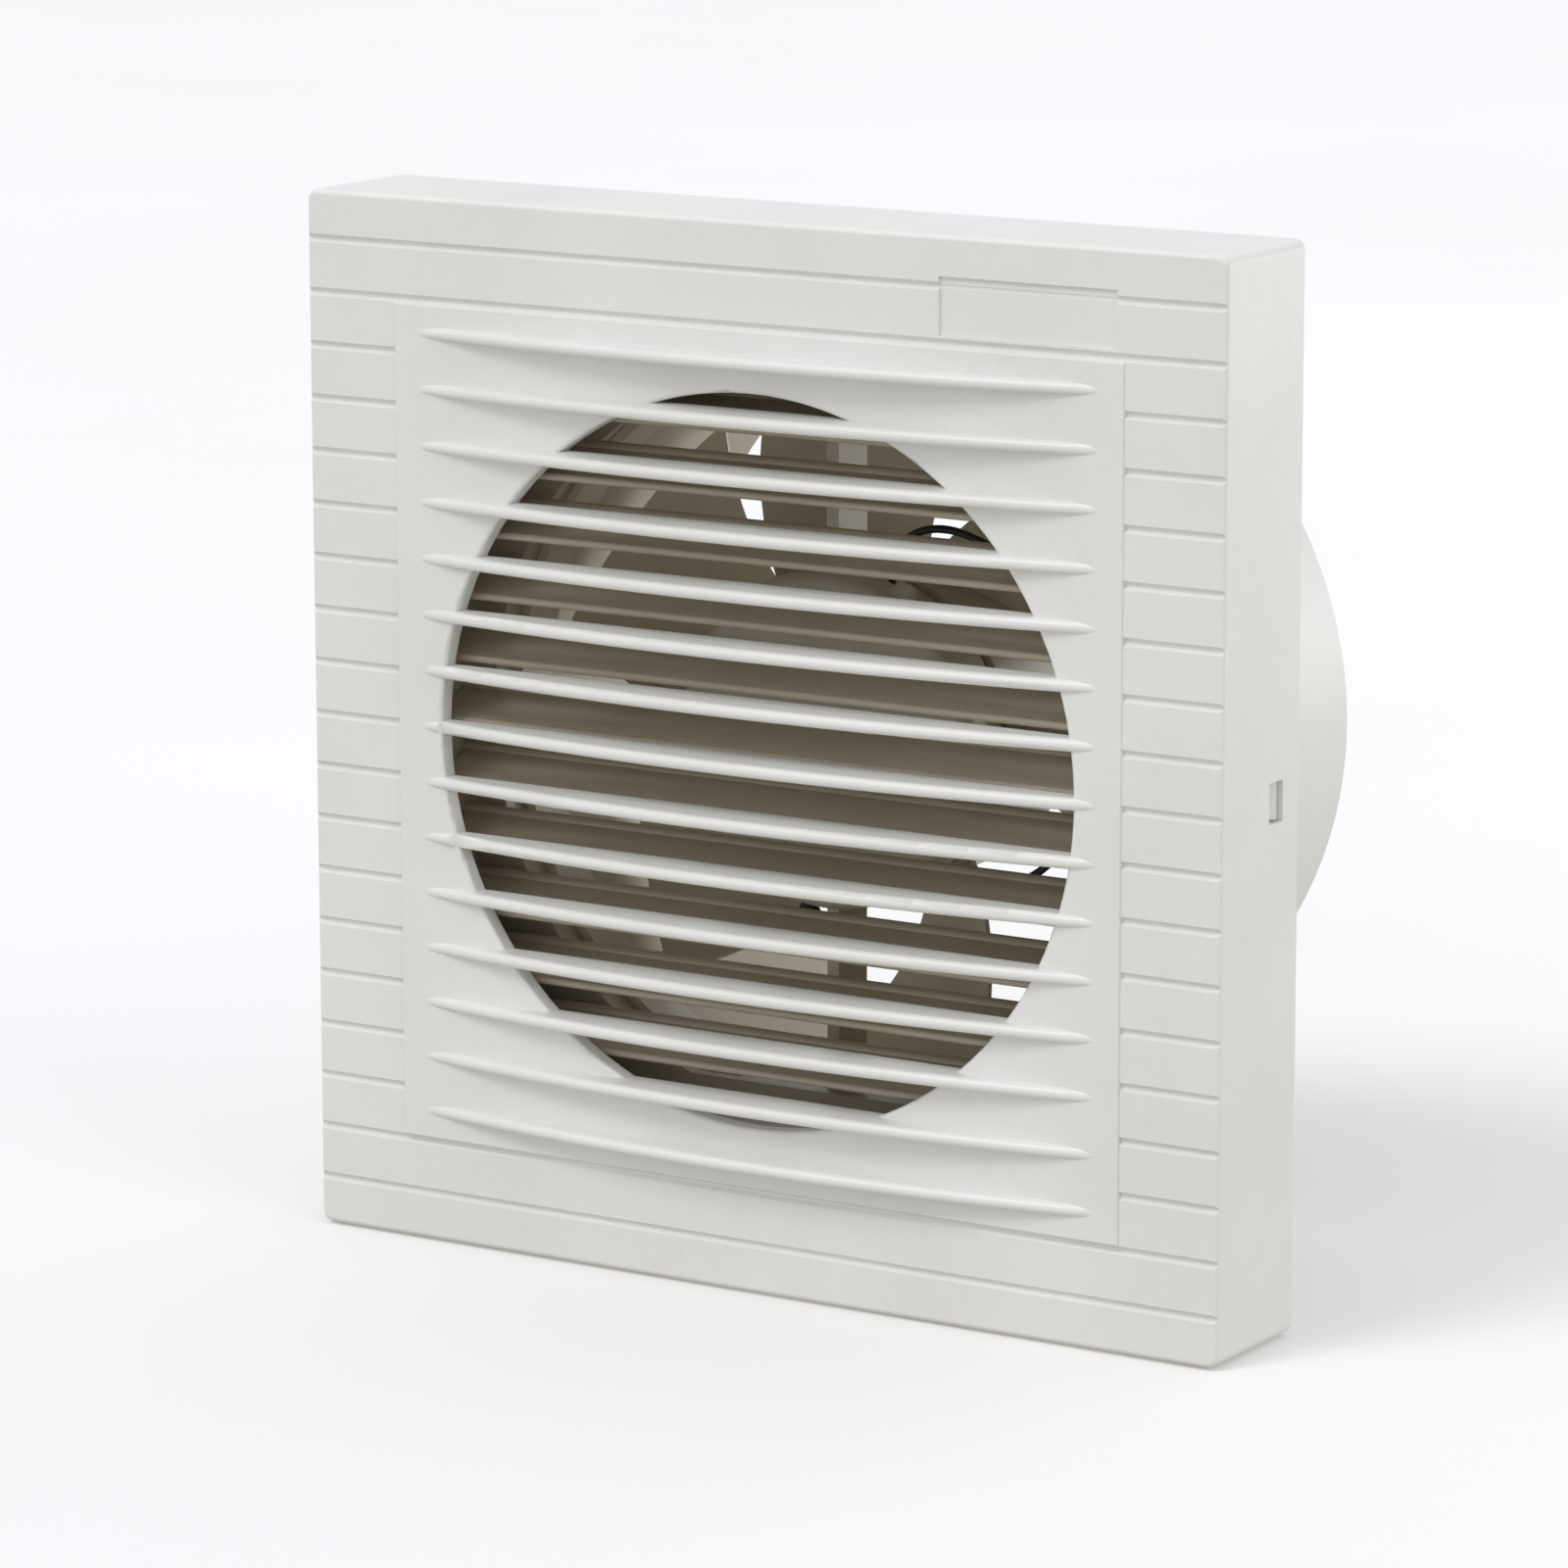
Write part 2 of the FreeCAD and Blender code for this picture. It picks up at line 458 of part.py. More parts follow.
def slat(number):
    """One shutter slat in its open position: pivot rod, blade, front bead, crank lug and crank pin."""
    z = pivot_z(number)
    half = SLAT_T / 2
    down = V(0, 0, 1)
    blade = box(-SLAT_LEFT, SLAT_END, PIVOT_Y - SLAT_CHORD, PIVOT_Y + SLAT_BACK, z - half, z + half)
    bead = rod_x(SLAT_BEAD_R, -SLAT_LEFT, SLAT_END, PIVOT_Y - SLAT_CHORD, z)
    body = blade.fuse(bead)
    body.rotate(V(0, PIVOT_Y, z), V(1, 0, 0), SLAT_OPEN)
    reach = CHEEK_X + CHEEK_T + ROD_OVER
    right = reach + LEVER_T + 0.6 if number == DRIVE_SLAT else reach
    pivot = rod_x(PIVOT_R, -reach, right, PIVOT_Y, z)
    lug_x0, lug_x1 = LUG_X, LUG_X + LUG_T
    crank = front_down(-CRANK_ANGLE, CRANK_R, lug_x0, z)
    arm = box(lug_x0, lug_x1, PIVOT_Y - CRANK_R, PIVOT_Y, z - LUG_R, z + LUG_R)
    arm.rotate(V(0, PIVOT_Y, z), V(1, 0, 0), -CRANK_ANGLE)
    lug = fuse([arm, rod_x(LUG_R, lug_x0, lug_x1, PIVOT_Y, z), rod_x(LUG_R, lug_x0, lug_x1, crank.y, crank.z)])
    pin = rod_x(CRANK_PIN_R, lug_x0, BAR_X1 + 0.4, crank.y, crank.z)
    return fuse([body, pivot, lug, pin])


def tie_bar():
    first = front_down(-CRANK_ANGLE, CRANK_R, BAR_X0, pivot_z(1))
    last = front_down(-CRANK_ANGLE, CRANK_R, BAR_X0, pivot_z(SLAT_COUNT))
    strip = box(BAR_X0, BAR_X1, first.y - BAR_HALF, first.y + BAR_HALF, last.z, first.z)
    ends = [rod_x(BAR_HALF, BAR_X0, BAR_X1, p.y, p.z) for p in (first, last)]
    holes = [rod_x(CRANK_PIN_R + RUN_GAP, BAR_X0 - 1, BAR_X1 + 1, first.y,
                   front_down(-CRANK_ANGLE, CRANK_R, 0, pivot_z(n)).z) for n in range(1, SLAT_COUNT + 1)]
    return fuse([strip] + ends).cut(holes)


def lever_pin():
    """Centre of the drive lever's end pin when the shutter is open; it swings evenly above and below level."""
    return front_down(-SLAT_TRAVEL / 2, LEVER_R, CHEEK_X, pivot_z(DRIVE_SLAT))


def actuator_y():
    return PIVOT_Y - LEVER_R * (1 + math.cos(math.radians(SLAT_TRAVEL / 2))) / 2


def plunger_top():
    return lever_pin().z - LEVER_PIN_R - PLUNGER_GAP


def lever_travel():
    return 2 * LEVER_R * math.sin(math.radians(SLAT_TRAVEL / 2))


def actuator_top():
    return plunger_top() - lever_travel() - 0.8


def actuator_lead_places():
    return [ACTUATOR_X - 1.6, ACTUATOR_X + 1.6]


def crank_lever():
    z = pivot_z(DRIVE_SLAT)
    x0 = LEVER_X
    x1 = x0 + LEVER_T
    pin = lever_pin()
    arm = box(x0, x1, PIVOT_Y - LEVER_R, PIVOT_Y, z - 1.5, z + 1.5)
    arm.rotate(V(0, PIVOT_Y, z), V(1, 0, 0), -SLAT_TRAVEL / 2)
    made = fuse([arm, rod_x(LEVER_HUB_R, x0, x1, PIVOT_Y, z), rod_x(1.8, x0, x1, pin.y, pin.z),
                 rod_x(LEVER_PIN_R, x0, SPRING_X + SPRING_R, pin.y, pin.z)])
    return made.cut(rod_x(PIVOT_R, x0 - 1, x1 + 1, PIVOT_Y, z))


def actuator_body():
    cx, cy, top = ACTUATOR_X, actuator_y(), actuator_top()
    case = rod(ACTUATOR_R, V(cx, cy, top - ACTUATOR_L), V(cx, cy, top - 3.0))
    neck = rod(ACTUATOR_R - 1.0, V(cx, cy, top - 4.0), V(cx, cy, top))
    bore = rod(PLUNGER_R + RUN_GAP, V(cx, cy, top - PLUNGER_BORE_L), V(cx, cy, top + 1))
    return fuse([case, neck]).cut(bore)


def actuator_plunger():
    cx, cy, top = ACTUATOR_X, actuator_y(), plunger_top()
    stem = rod(PLUNGER_R, V(cx, cy, actuator_top() - PLUNGER_BORE_L + lever_travel() + 0.5), V(cx, cy, top))
    return stem


def return_spring():
    """Tension spring between the lever's pin and a hook on the shelf."""
    pin = lever_pin()
    x = SPRING_X
    z1 = pin.z - LEVER_PIN_R - 2.2
    z0 = actuator_top() - ACTUATOR_L + 1.6
    pitch = (z1 - z0) / SPRING_TURNS
    path = Part.makeHelix(pitch, z1 - z0, SPRING_R)
    circle = Part.Wire(Part.makeCircle(SPRING_WIRE_R, V(SPRING_R, 0, 0), V(0, 1, 0)))
    coil = Part.Wire(path.Edges).makePipeShell([circle], True, True)
    coil.translate(V(x, pin.y, z0))
    return coil


def screw(x, z, seat_y, length, head_r=2.6, shank_r=SCREW_PILOT_R, head_t=1.8, slot=0.6, toward=1):
    """A cross-head screw along Y: its head stands in front of seat_y and its shank runs back from it."""
    head = rod_y(head_r, seat_y - head_t, seat_y, x, z)
    rim = edges_where(head, lambda e: abs(e.BoundBox.YMin - (seat_y - head_t)) < 1e-6 and e.BoundBox.YLength < 1e-6)
    head = head.makeFillet(min(0.7, head_t / 2), rim)
    shank = rod_y(shank_r - 0.02, seat_y - 0.2, seat_y + length, x, z)
    cross = [box(x - head_r * 0.55, x + head_r * 0.55, seat_y - head_t - 1, seat_y - head_t + slot, z - 0.3, z + 0.3),
             box(x - 0.3, x + 0.3, seat_y - head_t - 1, seat_y - head_t + slot, z - head_r * 0.55, z + head_r * 0.55)]
    return head.fuse(shank).cut(cross)


# ---- motor --------------------------------------------------------------------------------------
def motor_cap():
    """Domed cap that closes the front of the motor ring; its rim grips the ring between the struts."""
    cap = rod_y(RING_R + CAP_WALL, CAP_Y, CAP_SKIRT)
    edge = edges_where(cap, lambda e: abs(e.BoundBox.YMin - CAP_Y) < 1e-6 and e.BoundBox.YLength < 1e-6)
    cap = cap.makeFillet(min(CAP_EDGE_R, -CAP_Y - 0.1), edge)
    hollow = rod_y(RING_R - CAP_WALL, CAP_Y + CAP_T, 1)
    grip = rod_y(RING_R + CAP_FIT, 0, CAP_SKIRT + 1)
    far, half = RING_R + CAP_WALL + 1, STRUT_T / 2 + 0.25
    notches = [box(-half, half, STRUT_Y0 - 0.2, CAP_SKIRT + 1, -far, far),
               box(-far, far, STRUT_Y0 - 0.2, CAP_SKIRT + 1, -half, half)]
    return cap.cut([hollow, grip] + notches)


def stator_core():
    y0, y1 = STATOR_Y0, STATOR_Y1
    yoke = tube_y(STATOR_R, STATOR_R - YOKE_T, y0, y1)
    shoes = tube_y(STATOR_BORE + SHOE_T, STATOR_BORE, y0, y1)
    half = SHOE_GAP / 2
    poles, slots = [], []
    for k in range(4):
        pole = box(-POLE_W / 2, POLE_W / 2, y0, y1, STATOR_BORE + SHOE_T / 2, STATOR_R - YOKE_T / 2)
        slot = box(-half, half, y0 - 1, y1 + 1, STATOR_BORE - 2, STATOR_BORE + SHOE_T + 2)
        pole.rotate(V(0, 0, 0), V(0, 1, 0), 90 * k)
        slot.rotate(V(0, 0, 0), V(0, 1, 0), 45 + 90 * k)
        poles.append(pole)
        slots.append(slot)
    core = fuse([yoke, shoes.cut(slots)] + poles)
    return core.cut([rod_y(BOLT_R + BOLT_GAP, y0 - 1, y1 + 1, x, z) for x, z in bolt_places()])


def stator_coils():
    """Four windings, one round each pole."""
    side = POLE_W / 2 + COIL_SIDE
    r0, r1 = STATOR_BORE + SHOE_T + 0.2, math.sqrt((STATOR_R - YOKE_T - 0.2) ** 2 - side ** 2)
    y0, y1 = STATOR_Y0, STATOR_Y1
    clear = 0.1
    made = []
    for k in range(4):
        w = POLE_W / 2
        outer = box(-side, side, y0 - COIL_OVER, y1 + COIL_OVER, r0, r1)
        edges = edges_where(outer, lambda e: e.BoundBox.ZLength > 1)
        outer = outer.makeFillet(1.4, edges)
        coil = outer.cut(box(-w - clear, w + clear, y0 - clear, y1 + clear, r0 - 1, r1 + 1))
        coil.rotate(V(0, 0, 0), V(0, 1, 0), 90 * k)
        made.append(coil)
    return Part.makeCompound(made)


def shading_rings():
    """Two copper shading rings in the trailing tip of each pole shoe, as flat loops on the stack's end faces."""
    made = []
    y0, y1 = STATOR_Y0, STATOR_Y1
    for k in range(4):
        for y in (y0 - 0.9, y1 + 0.1):
            loop = box(3.4, 5.6, y, y + 0.8, STATOR_BORE + 0.1, STATOR_BORE + SHOE_T - 0.9)
            loop.rotate(V(0, 0, 0), V(0, 1, 0), 90 * k)
            made.append(loop)
    return Part.makeCompound(made)


def end_shield(y0, boss_y0, boss_y1):
    """Stamped cross-shaped end shield with a bush seat in the middle and four bolt eyes."""
    arms = []
    for k in range(2):
        arm = box(-BOLT_CIRCLE, BOLT_CIRCLE, y0, y0 + SHIELD_T, -EYE_R, EYE_R)
        arm.rotate(V(0, 0, 0), V(0, 1, 0), 45 + 90 * k)
        arms.append(arm)
    eyes = [rod_y(EYE_R, y0, y0 + SHIELD_T, x, z) for x, z in bolt_places()]
    made = fuse(arms + [rod_y(BUSH_R + 1.6, boss_y0, boss_y1)] + eyes)
    holes = [rod_y(BUSH_R, boss_y0 - 1, boss_y1 + 1)]
    holes += [rod_y(BOLT_R + BOLT_GAP, y0 - 1, y0 + SHIELD_T + 1, x, z) for x, z in bolt_places()]
    return made.cut(holes)


def bush(y0):
    return tube_y(BUSH_R, SHAFT_R + BUSH_RUN_GAP, y0, y0 + BUSH_L)


def spacers():
    """Tubes on the four bolts that hold the end shields off the stack."""
    made = []
    for x, z in bolt_places():
        for a, b in ((FRONT_SHIELD_Y + SHIELD_T, STATOR_Y0), (STATOR_Y1, REAR_SHIELD_Y)):
            made.append(tube_y(EYE_R, BOLT_R + BOLT_GAP, a, b, x, z))
    return Part.makeCompound(made)


def motor_bolts():
    made = []
    for x, z in bolt_places():
        bolt = screw(x, z, 0.0, REAR_SHIELD_Y + SHIELD_T + 1.9, head_r=2.2, shank_r=BOLT_R, head_t=1.2)
        nut = rod_y(EYE_R, REAR_SHIELD_Y + SHIELD_T, REAR_SHIELD_Y + SHIELD_T + 1.8, x, z)
        made.append(bolt.fuse(nut))
    return Part.makeCompound(made)


def rotor_core():
    y0, y1 = STATOR_Y0, STATOR_Y1
    body = rod_y(ROTOR_R, y0, y1)
    rings = [rod_y(ROTOR_R - 1.2, y0 - END_RING_T, y0 + 0.1), rod_y(ROTOR_R - 1.2, y1 - 0.1, y1 + END_RING_T)]
    return fuse([body] + rings).cut(rod_y(SHAFT_R, y0 - 5, y1 + 5))


def motor_shaft():
    shaft = rod_y(SHAFT_R, SHAFT_Y0, SHAFT_Y1)
    ends = edges_where(shaft, lambda e: e.BoundBox.YLength < 1e-6)
    return shaft.makeChamfer(0.3, ends)


def thrust_washers():
    y0 = STATOR_Y0 - END_RING_T
    y1 = STATOR_Y1 + END_RING_T
    return Part.makeCompound([tube_y(WASHER_R, SHAFT_R, y0 - WASHER_T, y0), tube_y(WASHER_R, SHAFT_R, y1, y1 + WASHER_T)])


# ---- impeller -----------------------------------------------------------------------------------
def blade_section(radius, chord, pitch_deg, lean_deg, mid_y):
    """A thin cambered section on the plane that touches the cylinder of this radius, as a closed spline."""
    pitch, lean = math.radians(pitch_deg), math.radians(lean_deg)
    upper, lower = [], []
    steps = 6
    for k in range(steps + 1):
        s = k / steps
        camber = 0.07 * chord * 4 * s * (1 - s)
        thick = BLADE_T / 2 * (0.45 + 0.55 * math.sqrt(4 * s * (1 - s)))
        upper.append(((s - 0.5) * chord, camber + thick))
        lower.append(((s - 0.5) * chord, camber - thick))
    outline = upper + lower[::-1]
    points = []
    for along, off in outline:
        t = along * math.cos(pitch) - off * math.sin(pitch)
        y = mid_y + along * math.sin(pitch) + off * math.cos(pitch)
        x = radius * math.sin(lean) + t * math.cos(lean)
        z = radius * math.cos(lean) - t * math.sin(lean)
        points.append(V(x, y, z))
    half = steps + 1
    top = Part.BSplineCurve()
    top.interpolate(points[:half])
    low = Part.BSplineCurve()
    low.interpolate(points[half:])
    return Part.Wire([top.toShape(), Part.LineSegment(points[half - 1], points[half]).toShape(), low.toShape(),
                      Part.LineSegment(points[-1], points[0]).toShape()])


def impeller():
    tip = DUCT_BORE - BLADE_TIP_GAP
    stations = [(16.0, 21.0, 46.0, 0.0), (29.0, 26.0, 38.0, 6.0), (43.0, 33.0, 31.0, 16.0), (60.0, 42.0, 25.0, 30.0)]
    wires = [blade_section(r, c, p, lean, BLADE_MID_Y) for r, c, p, lean in stations]
    blade = Part.makeLoft(wires, True, False)
    ring = tube_y(tip, HUB_R - HUB_WALL * 0.6, HUB_Y0 - 5, HUB_Y1 + 8)
    blade = blade.common(ring)
    blades = []
    for k in range(BLADES):
        b = blade.copy()
        b.rotate(V(0, 0, 0), V(0, 1, 0), ROTOR_PHASE + 360 * k / BLADES)
        blades.append(b)
    hub = rod_y(HUB_R, HUB_Y0, HUB_Y1)
    rim = edges_where(hub, lambda e: abs(e.BoundBox.YMin - HUB_Y1) < 1e-6 and e.BoundBox.YLength < 1e-6)
    hub = hub.makeFillet(2.5, rim)
    hub = hub.cut(rod_y(HUB_R - HUB_WALL, HUB_Y0 - 1, HUB_Y1 - HUB_FLOOR_T))
    boss = rod_y(SHAFT_R + 3.0, REAR_BUSH_Y + BUSH_L + 0.8, NUT_Y)
    return fuse([hub, boss] + blades).cut(rod_y(SHAFT_R, HUB_Y0 - 10, HUB_Y1 + 20))


def impeller_nut():
    nut = Part.Face(Part.makePolygon([V(NUT_R * math.cos(math.radians(60 * k)), NUT_Y,
                                        NUT_R * math.sin(math.radians(60 * k))) for k in range(7)]))
    return nut.extrude(V(0, NUT_L, 0)).cut(rod_y(SHAFT_R, HUB_Y1 - 1, HUB_Y1 + 20))


# ---- electrics ----------------------------------------------------------------------------------
def terminal_block():
    base_y = BLOCK_BACK_Y
    x0, z0 = BLOCK_X - BLOCK_W / 2, BLOCK_Z - BLOCK_H / 2
    body = box(x0, x0 + BLOCK_W, base_y - BLOCK_D, base_y, z0, z0 + BLOCK_H)
    body = body.makeFillet(0.6, edges_where(body, lambda e: e.BoundBox.YLength > 1))
    holes = [rod_y(SCREW_PILOT_R + 0.3, base_y - BLOCK_D - 1, base_y + 1, BLOCK_X, BLOCK_Z),
             rod_y(2.8, base_y - BLOCK_D - 1, base_y - 3.0, BLOCK_X, BLOCK_Z)]
    bore_y = base_y - TERMINAL_BORE_DEPTH
    for x in terminal_places():
        holes.append(rod(TERMINAL_BORE_R, V(x, bore_y, z0 - 1), V(x, bore_y, z0 + BLOCK_H + 1)))
        holes.append(rod_y(2.0, base_y - BLOCK_D - 1, bore_y, x, BLOCK_Z))
    return body.cut(holes)


def terminal_places():
    return [BLOCK_X - TERMINAL_SPACING / 2, BLOCK_X + TERMINAL_SPACING / 2]


def terminal_screws():
    base_y = BLOCK_BACK_Y
    return Part.makeCompound([screw(x, BLOCK_Z, base_y - BLOCK_D + 2.4, 2.6, head_r=1.9, shank_r=1.3, head_t=1.6, slot=0.7)
                              for x in terminal_places()])


def cable_grommet():
    y0, y1 = -PLATE_T - 1.2, 0.0
    body = rod_y(CABLE_R + GROMMET_WALL - 0.05, y0, y1, CABLE_X, CABLE_Z)
    collar = rod_y(CABLE_R + GROMMET_WALL + 0.9, y0, -PLATE_T, CABLE_X, CABLE_Z)
    return fuse([body, collar]).cut(rod_y(CABLE_R, y0 - 1, y1 + 1, CABLE_X, CABLE_Z))


def wire(points):
    """A round lead through hand-placed points, from the first to the last."""
    path = Part.BSplineCurve()
    path.interpolate([V(*p) for p in points])
    start, along = path.value(path.FirstParameter), path.tangent(path.FirstParameter)[0]
    circle = Part.Wire(Part.makeCircle(LEAD_R, start, along))
    return Part.Wire(path.toShape()).makePipeShell([circle], True, True)


def lead_ends():
    """Places side by side in each terminal's bore: the first of each pair is the motor's, the second the actuator's."""
    side = LEAD_R + 0.1
    y = BLOCK_BACK_Y - TERMINAL_BORE_DEPTH
    return [[(x - side, y, BLOCK_Z + BLOCK_H / 2 - 2.6), (x + side, y, BLOCK_Z + BLOCK_H / 2 - 2.6)]
            for x in reversed(terminal_places())]


def in_duct(out, angle, y):
    """A place in the duct: out is 0 at the motor ring and 1 at the duct's bore, the angle is from level."""
    r = RING_R + out * (DUCT_BORE - RING_R)
    return (r * math.cos(math.radians(angle)), y, r * math.sin(math.radians(angle)))


def past_duct(out, angle, y):
    """A place between the back plate and the cover, this far outside the duct."""
    r = DUCT_R + out
    return (r * math.cos(math.radians(angle)), y, r * math.sin(math.radians(angle)))


def at_radius(r, y, z):
    return (math.sqrt(r * r - z * z), y, z)


def motor_leads():
    """Both leads cross the collar in its notch. The last places are above the terminals that they enter."""
    far, near = lead_ends()
    y = -PLATE_T - COLLAR / 2
    notch_z = (LEAD_NOTCH_Z[0] + LEAD_NOTCH_Z[1]) / 2
    block_top = BLOCK_Z + BLOCK_H / 2
    near_x, far_x = terminal_places()
    top, low = lead_exits()
    over_hub = [(0.239, 71.0, 4.2), (0.366, 63.7, 3.4), (0.438, 56.1, 3.0), (0.485, 48.4, 3.0),
                (0.533, 37.7, 2.2), (0.57, 24.1, 1.0), (0.606, 10.4, -0.5), (0.608, 0.0, -1.0),
                (0.568, -11.4, -1.0), (0.473, -22.8, -1.0), (0.399, -28.9, -1.0),
                (0.382, -32.9, -0.8), (0.442, -34.1, -0.7), (0.553, -31.3, -0.8),
                (0.736, -28.6, -1.4)]
    under_hub = [(0.13, -106.2, 4.6), (0.217, -107.3, 4.3), (0.243, -106.1, 3.3),
                 (0.178, -104.1, 2.8), (0.115, -103.1, 2.7), (0.086, -100.5, 2.5),
                 (0.111, -96.6, 1.3), (0.158, -93.1, -0.7), (0.199, -85.1, -1.0),
                 (0.261, -72.2, -1.0), (0.401, -57.6, -0.8), (0.632, -44.6, -0.9),
                 (0.877, -36.0, -1.6)]
    first = [(top[0] * 0.72, LEAD_EXIT_Y, top[1] * 0.72), (top[0], LEAD_EXIT_Y, top[1])]
    first += [in_duct(*place) for place in over_hub]
    first += [at_radius(DUCT_BORE - 2.8, y + 0.9, notch_z + 3.5), at_radius(DUCT_R + 0.6, y, notch_z + 1.1)]
    first += [past_duct(out, angle, y) for out, angle in [(5.5, -29.7), (9.0, -34.9), (10.5, -43.5), (10.2, -51.1)]]
    first += [(far_x + 1.0, y, block_top + 5.2), (far_x - 0.5, y - 1.6, block_top + 2.9),
              (far_x - 1.0, y - 4.2, block_top + 2.2)]
    second = [(low[0] * 0.72, LEAD_EXIT_Y, low[1] * 0.72), (low[0], LEAD_EXIT_Y, low[1])]
    second += [in_duct(*place) for place in under_hub]
    second += [at_radius(DUCT_R - 0.7, y + 0.4, notch_z - 2.1)]
    second += [past_duct(out, angle, y) for out, angle in [(3.5, -33.7), (5.7, -39.2), (6.6, -47.5), (6.0, -56.9)]]
    second += [(near_x + 2.4, y, block_top + 4.6), (near_x - 0.4, y - 1.6, block_top + 2.7),
               (near_x - 1.0, y - 4.2, block_top + 2.2)]
    return Part.makeCompound([wire(first + [far[0]]), wire(second + [near[0]])])


def actuator_leads():
    far, near = lead_ends()
    cy = actuator_y()
    low = actuator_top() - ACTUATOR_L
    block_top = BLOCK_Z + BLOCK_H / 2
    inner, outer = actuator_lead_places()
    first = [(inner, cy, low), (inner, cy, low - 4.0), (62.9, cy + 1.0, -56.5), (57.0, cy + 3.0, -62.2),
             (47.0, cy + 4.0, -64.0), (41.8, cy + 5.0, block_top + 1.9)]
    second = [(outer, cy, low), (outer, cy, low - 4.0), (65.2, cy + 0.4, -58.0), (58.5, cy - 0.2, -64.2),
              (45.0, cy - 0.8, -64.6), (31.5, cy + 3.0, -63.9), (28.2, cy + 5.4, block_top + 1.7)]
    return Part.makeCompound([wire(first + [far[1]]), wire(second + [near[1]])])


def main():
    os.makedirs("parts", exist_ok=True)
    export("front_cover", front_cover())
    export("rear_housing", rear_housing())
    export("motor_bracket", motor_bracket())
    export("shutter_frame", shutter_frame())
    for n in range(1, SLAT_COUNT + 1):
        export(f"shutter_slat_{n:02d}", slat(n))
    export("tie_bar", tie_bar())
    export("crank_lever", crank_lever())
    export("actuator_body", actuator_body())
    export("actuator_plunger", actuator_plunger())
    export("return_spring", return_spring())
    export("shutter_screws", Part.makeCompound([screw(x, z, FLANGE_Y0, 4.6) for x, z in frame_screw_places()]))
    export("motor_cap", motor_cap())
    export("stator_core", stator_core())
    export("stator_coils", stator_coils())
    export("shading_rings", shading_rings())
    export("front_end_shield", end_shield(FRONT_SHIELD_Y, FRONT_BUSH_Y, FRONT_BUSH_Y + BUSH_L))
    export("rear_end_shield", end_shield(REAR_SHIELD_Y, REAR_BUSH_Y, REAR_BUSH_Y + BUSH_L))
    export("front_bush", bush(FRONT_BUSH_Y))
    export("rear_bush", bush(REAR_BUSH_Y))
    export("bolt_spacers", spacers())
    export("motor_bolts", motor_bolts())
    export("rotor_core", rotor_core())
    export("motor_shaft", motor_shaft())
    export("thrust_washers", thrust_washers())
    export("impeller", impeller())
    export("impeller_nut", impeller_nut())
    export("terminal_block", terminal_block())
    export("terminal_screws", terminal_screws())
    export("block_screw", screw(BLOCK_X, BLOCK_Z, BLOCK_BACK_Y - 3.0, 5.6, head_r=2.5))
    export("cable_grommet", cable_grommet())
    export("motor_leads", motor_leads())
    export("actuator_leads", actuator_leads())


main()
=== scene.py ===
"""Looks, light and camera for a wall-mounted bathroom extractor fan.

Laid out as a Blender add-on: property groups hold the sizes and colours, one operator finishes each group of
pieces, and one sets the stage. All lengths are in metres unless a name ends in _mm.
"""

import json
import math

import bpy
import numpy as np
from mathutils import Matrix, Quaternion, Vector


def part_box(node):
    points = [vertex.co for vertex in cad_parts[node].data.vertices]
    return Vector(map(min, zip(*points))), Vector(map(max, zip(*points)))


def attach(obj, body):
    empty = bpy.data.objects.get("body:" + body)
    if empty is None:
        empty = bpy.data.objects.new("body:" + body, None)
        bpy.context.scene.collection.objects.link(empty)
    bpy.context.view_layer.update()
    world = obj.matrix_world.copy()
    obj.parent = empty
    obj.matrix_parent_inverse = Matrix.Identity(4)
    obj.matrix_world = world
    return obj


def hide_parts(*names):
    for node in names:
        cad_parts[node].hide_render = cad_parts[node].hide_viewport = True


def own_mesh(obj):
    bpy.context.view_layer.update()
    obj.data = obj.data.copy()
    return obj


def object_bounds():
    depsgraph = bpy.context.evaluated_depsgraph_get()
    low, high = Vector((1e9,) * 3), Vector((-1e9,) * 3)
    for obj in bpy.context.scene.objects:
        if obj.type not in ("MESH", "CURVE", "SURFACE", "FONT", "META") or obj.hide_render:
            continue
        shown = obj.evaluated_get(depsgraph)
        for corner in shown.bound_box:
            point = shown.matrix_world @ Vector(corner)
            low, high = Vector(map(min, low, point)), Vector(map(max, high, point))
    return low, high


bl_info = {
    "name": "Extractor fan looks",
    "version": (1, 0, 0),
    "blender": (4, 5, 0),
    "location": "3D View > Sidebar > Fan",
    "description": "Gives a bathroom extractor fan its finishes, fine pieces, light and camera",
    "category": "Object",
}

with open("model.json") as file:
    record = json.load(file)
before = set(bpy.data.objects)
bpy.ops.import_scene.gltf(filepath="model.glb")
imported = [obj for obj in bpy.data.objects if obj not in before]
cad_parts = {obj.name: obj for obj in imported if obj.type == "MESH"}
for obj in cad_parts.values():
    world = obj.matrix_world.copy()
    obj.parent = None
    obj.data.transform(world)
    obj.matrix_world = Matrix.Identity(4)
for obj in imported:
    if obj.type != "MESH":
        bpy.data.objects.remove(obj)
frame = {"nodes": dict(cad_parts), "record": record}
CAD_BOX = [list(corner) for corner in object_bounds()]
MM = 0.001

# Patterns of the materials, in millimetres.
FLOW_MARK_MM = 38.0
SPECK_MM = 2.2
METAL_HAZE_MM = 4.0
STEEL_HAZE_MM = 6.0
SHEET_MM = 0.65
FLOOR_MOTTLE_MM = 400.0

# The warm film of painted shade is whole within FILM_MM of the duct's axis. It ends FILM_EDGE_MM farther out,
# in the wall.
FILM_MM = 57.4
FILM_EDGE_MM = 0.6

# The return spring: points along each turn and around the wire, and how much closer its end coils lie.
TURN_POINTS = 28
WIRE_SIDES = 10
END_EASE = 0.35

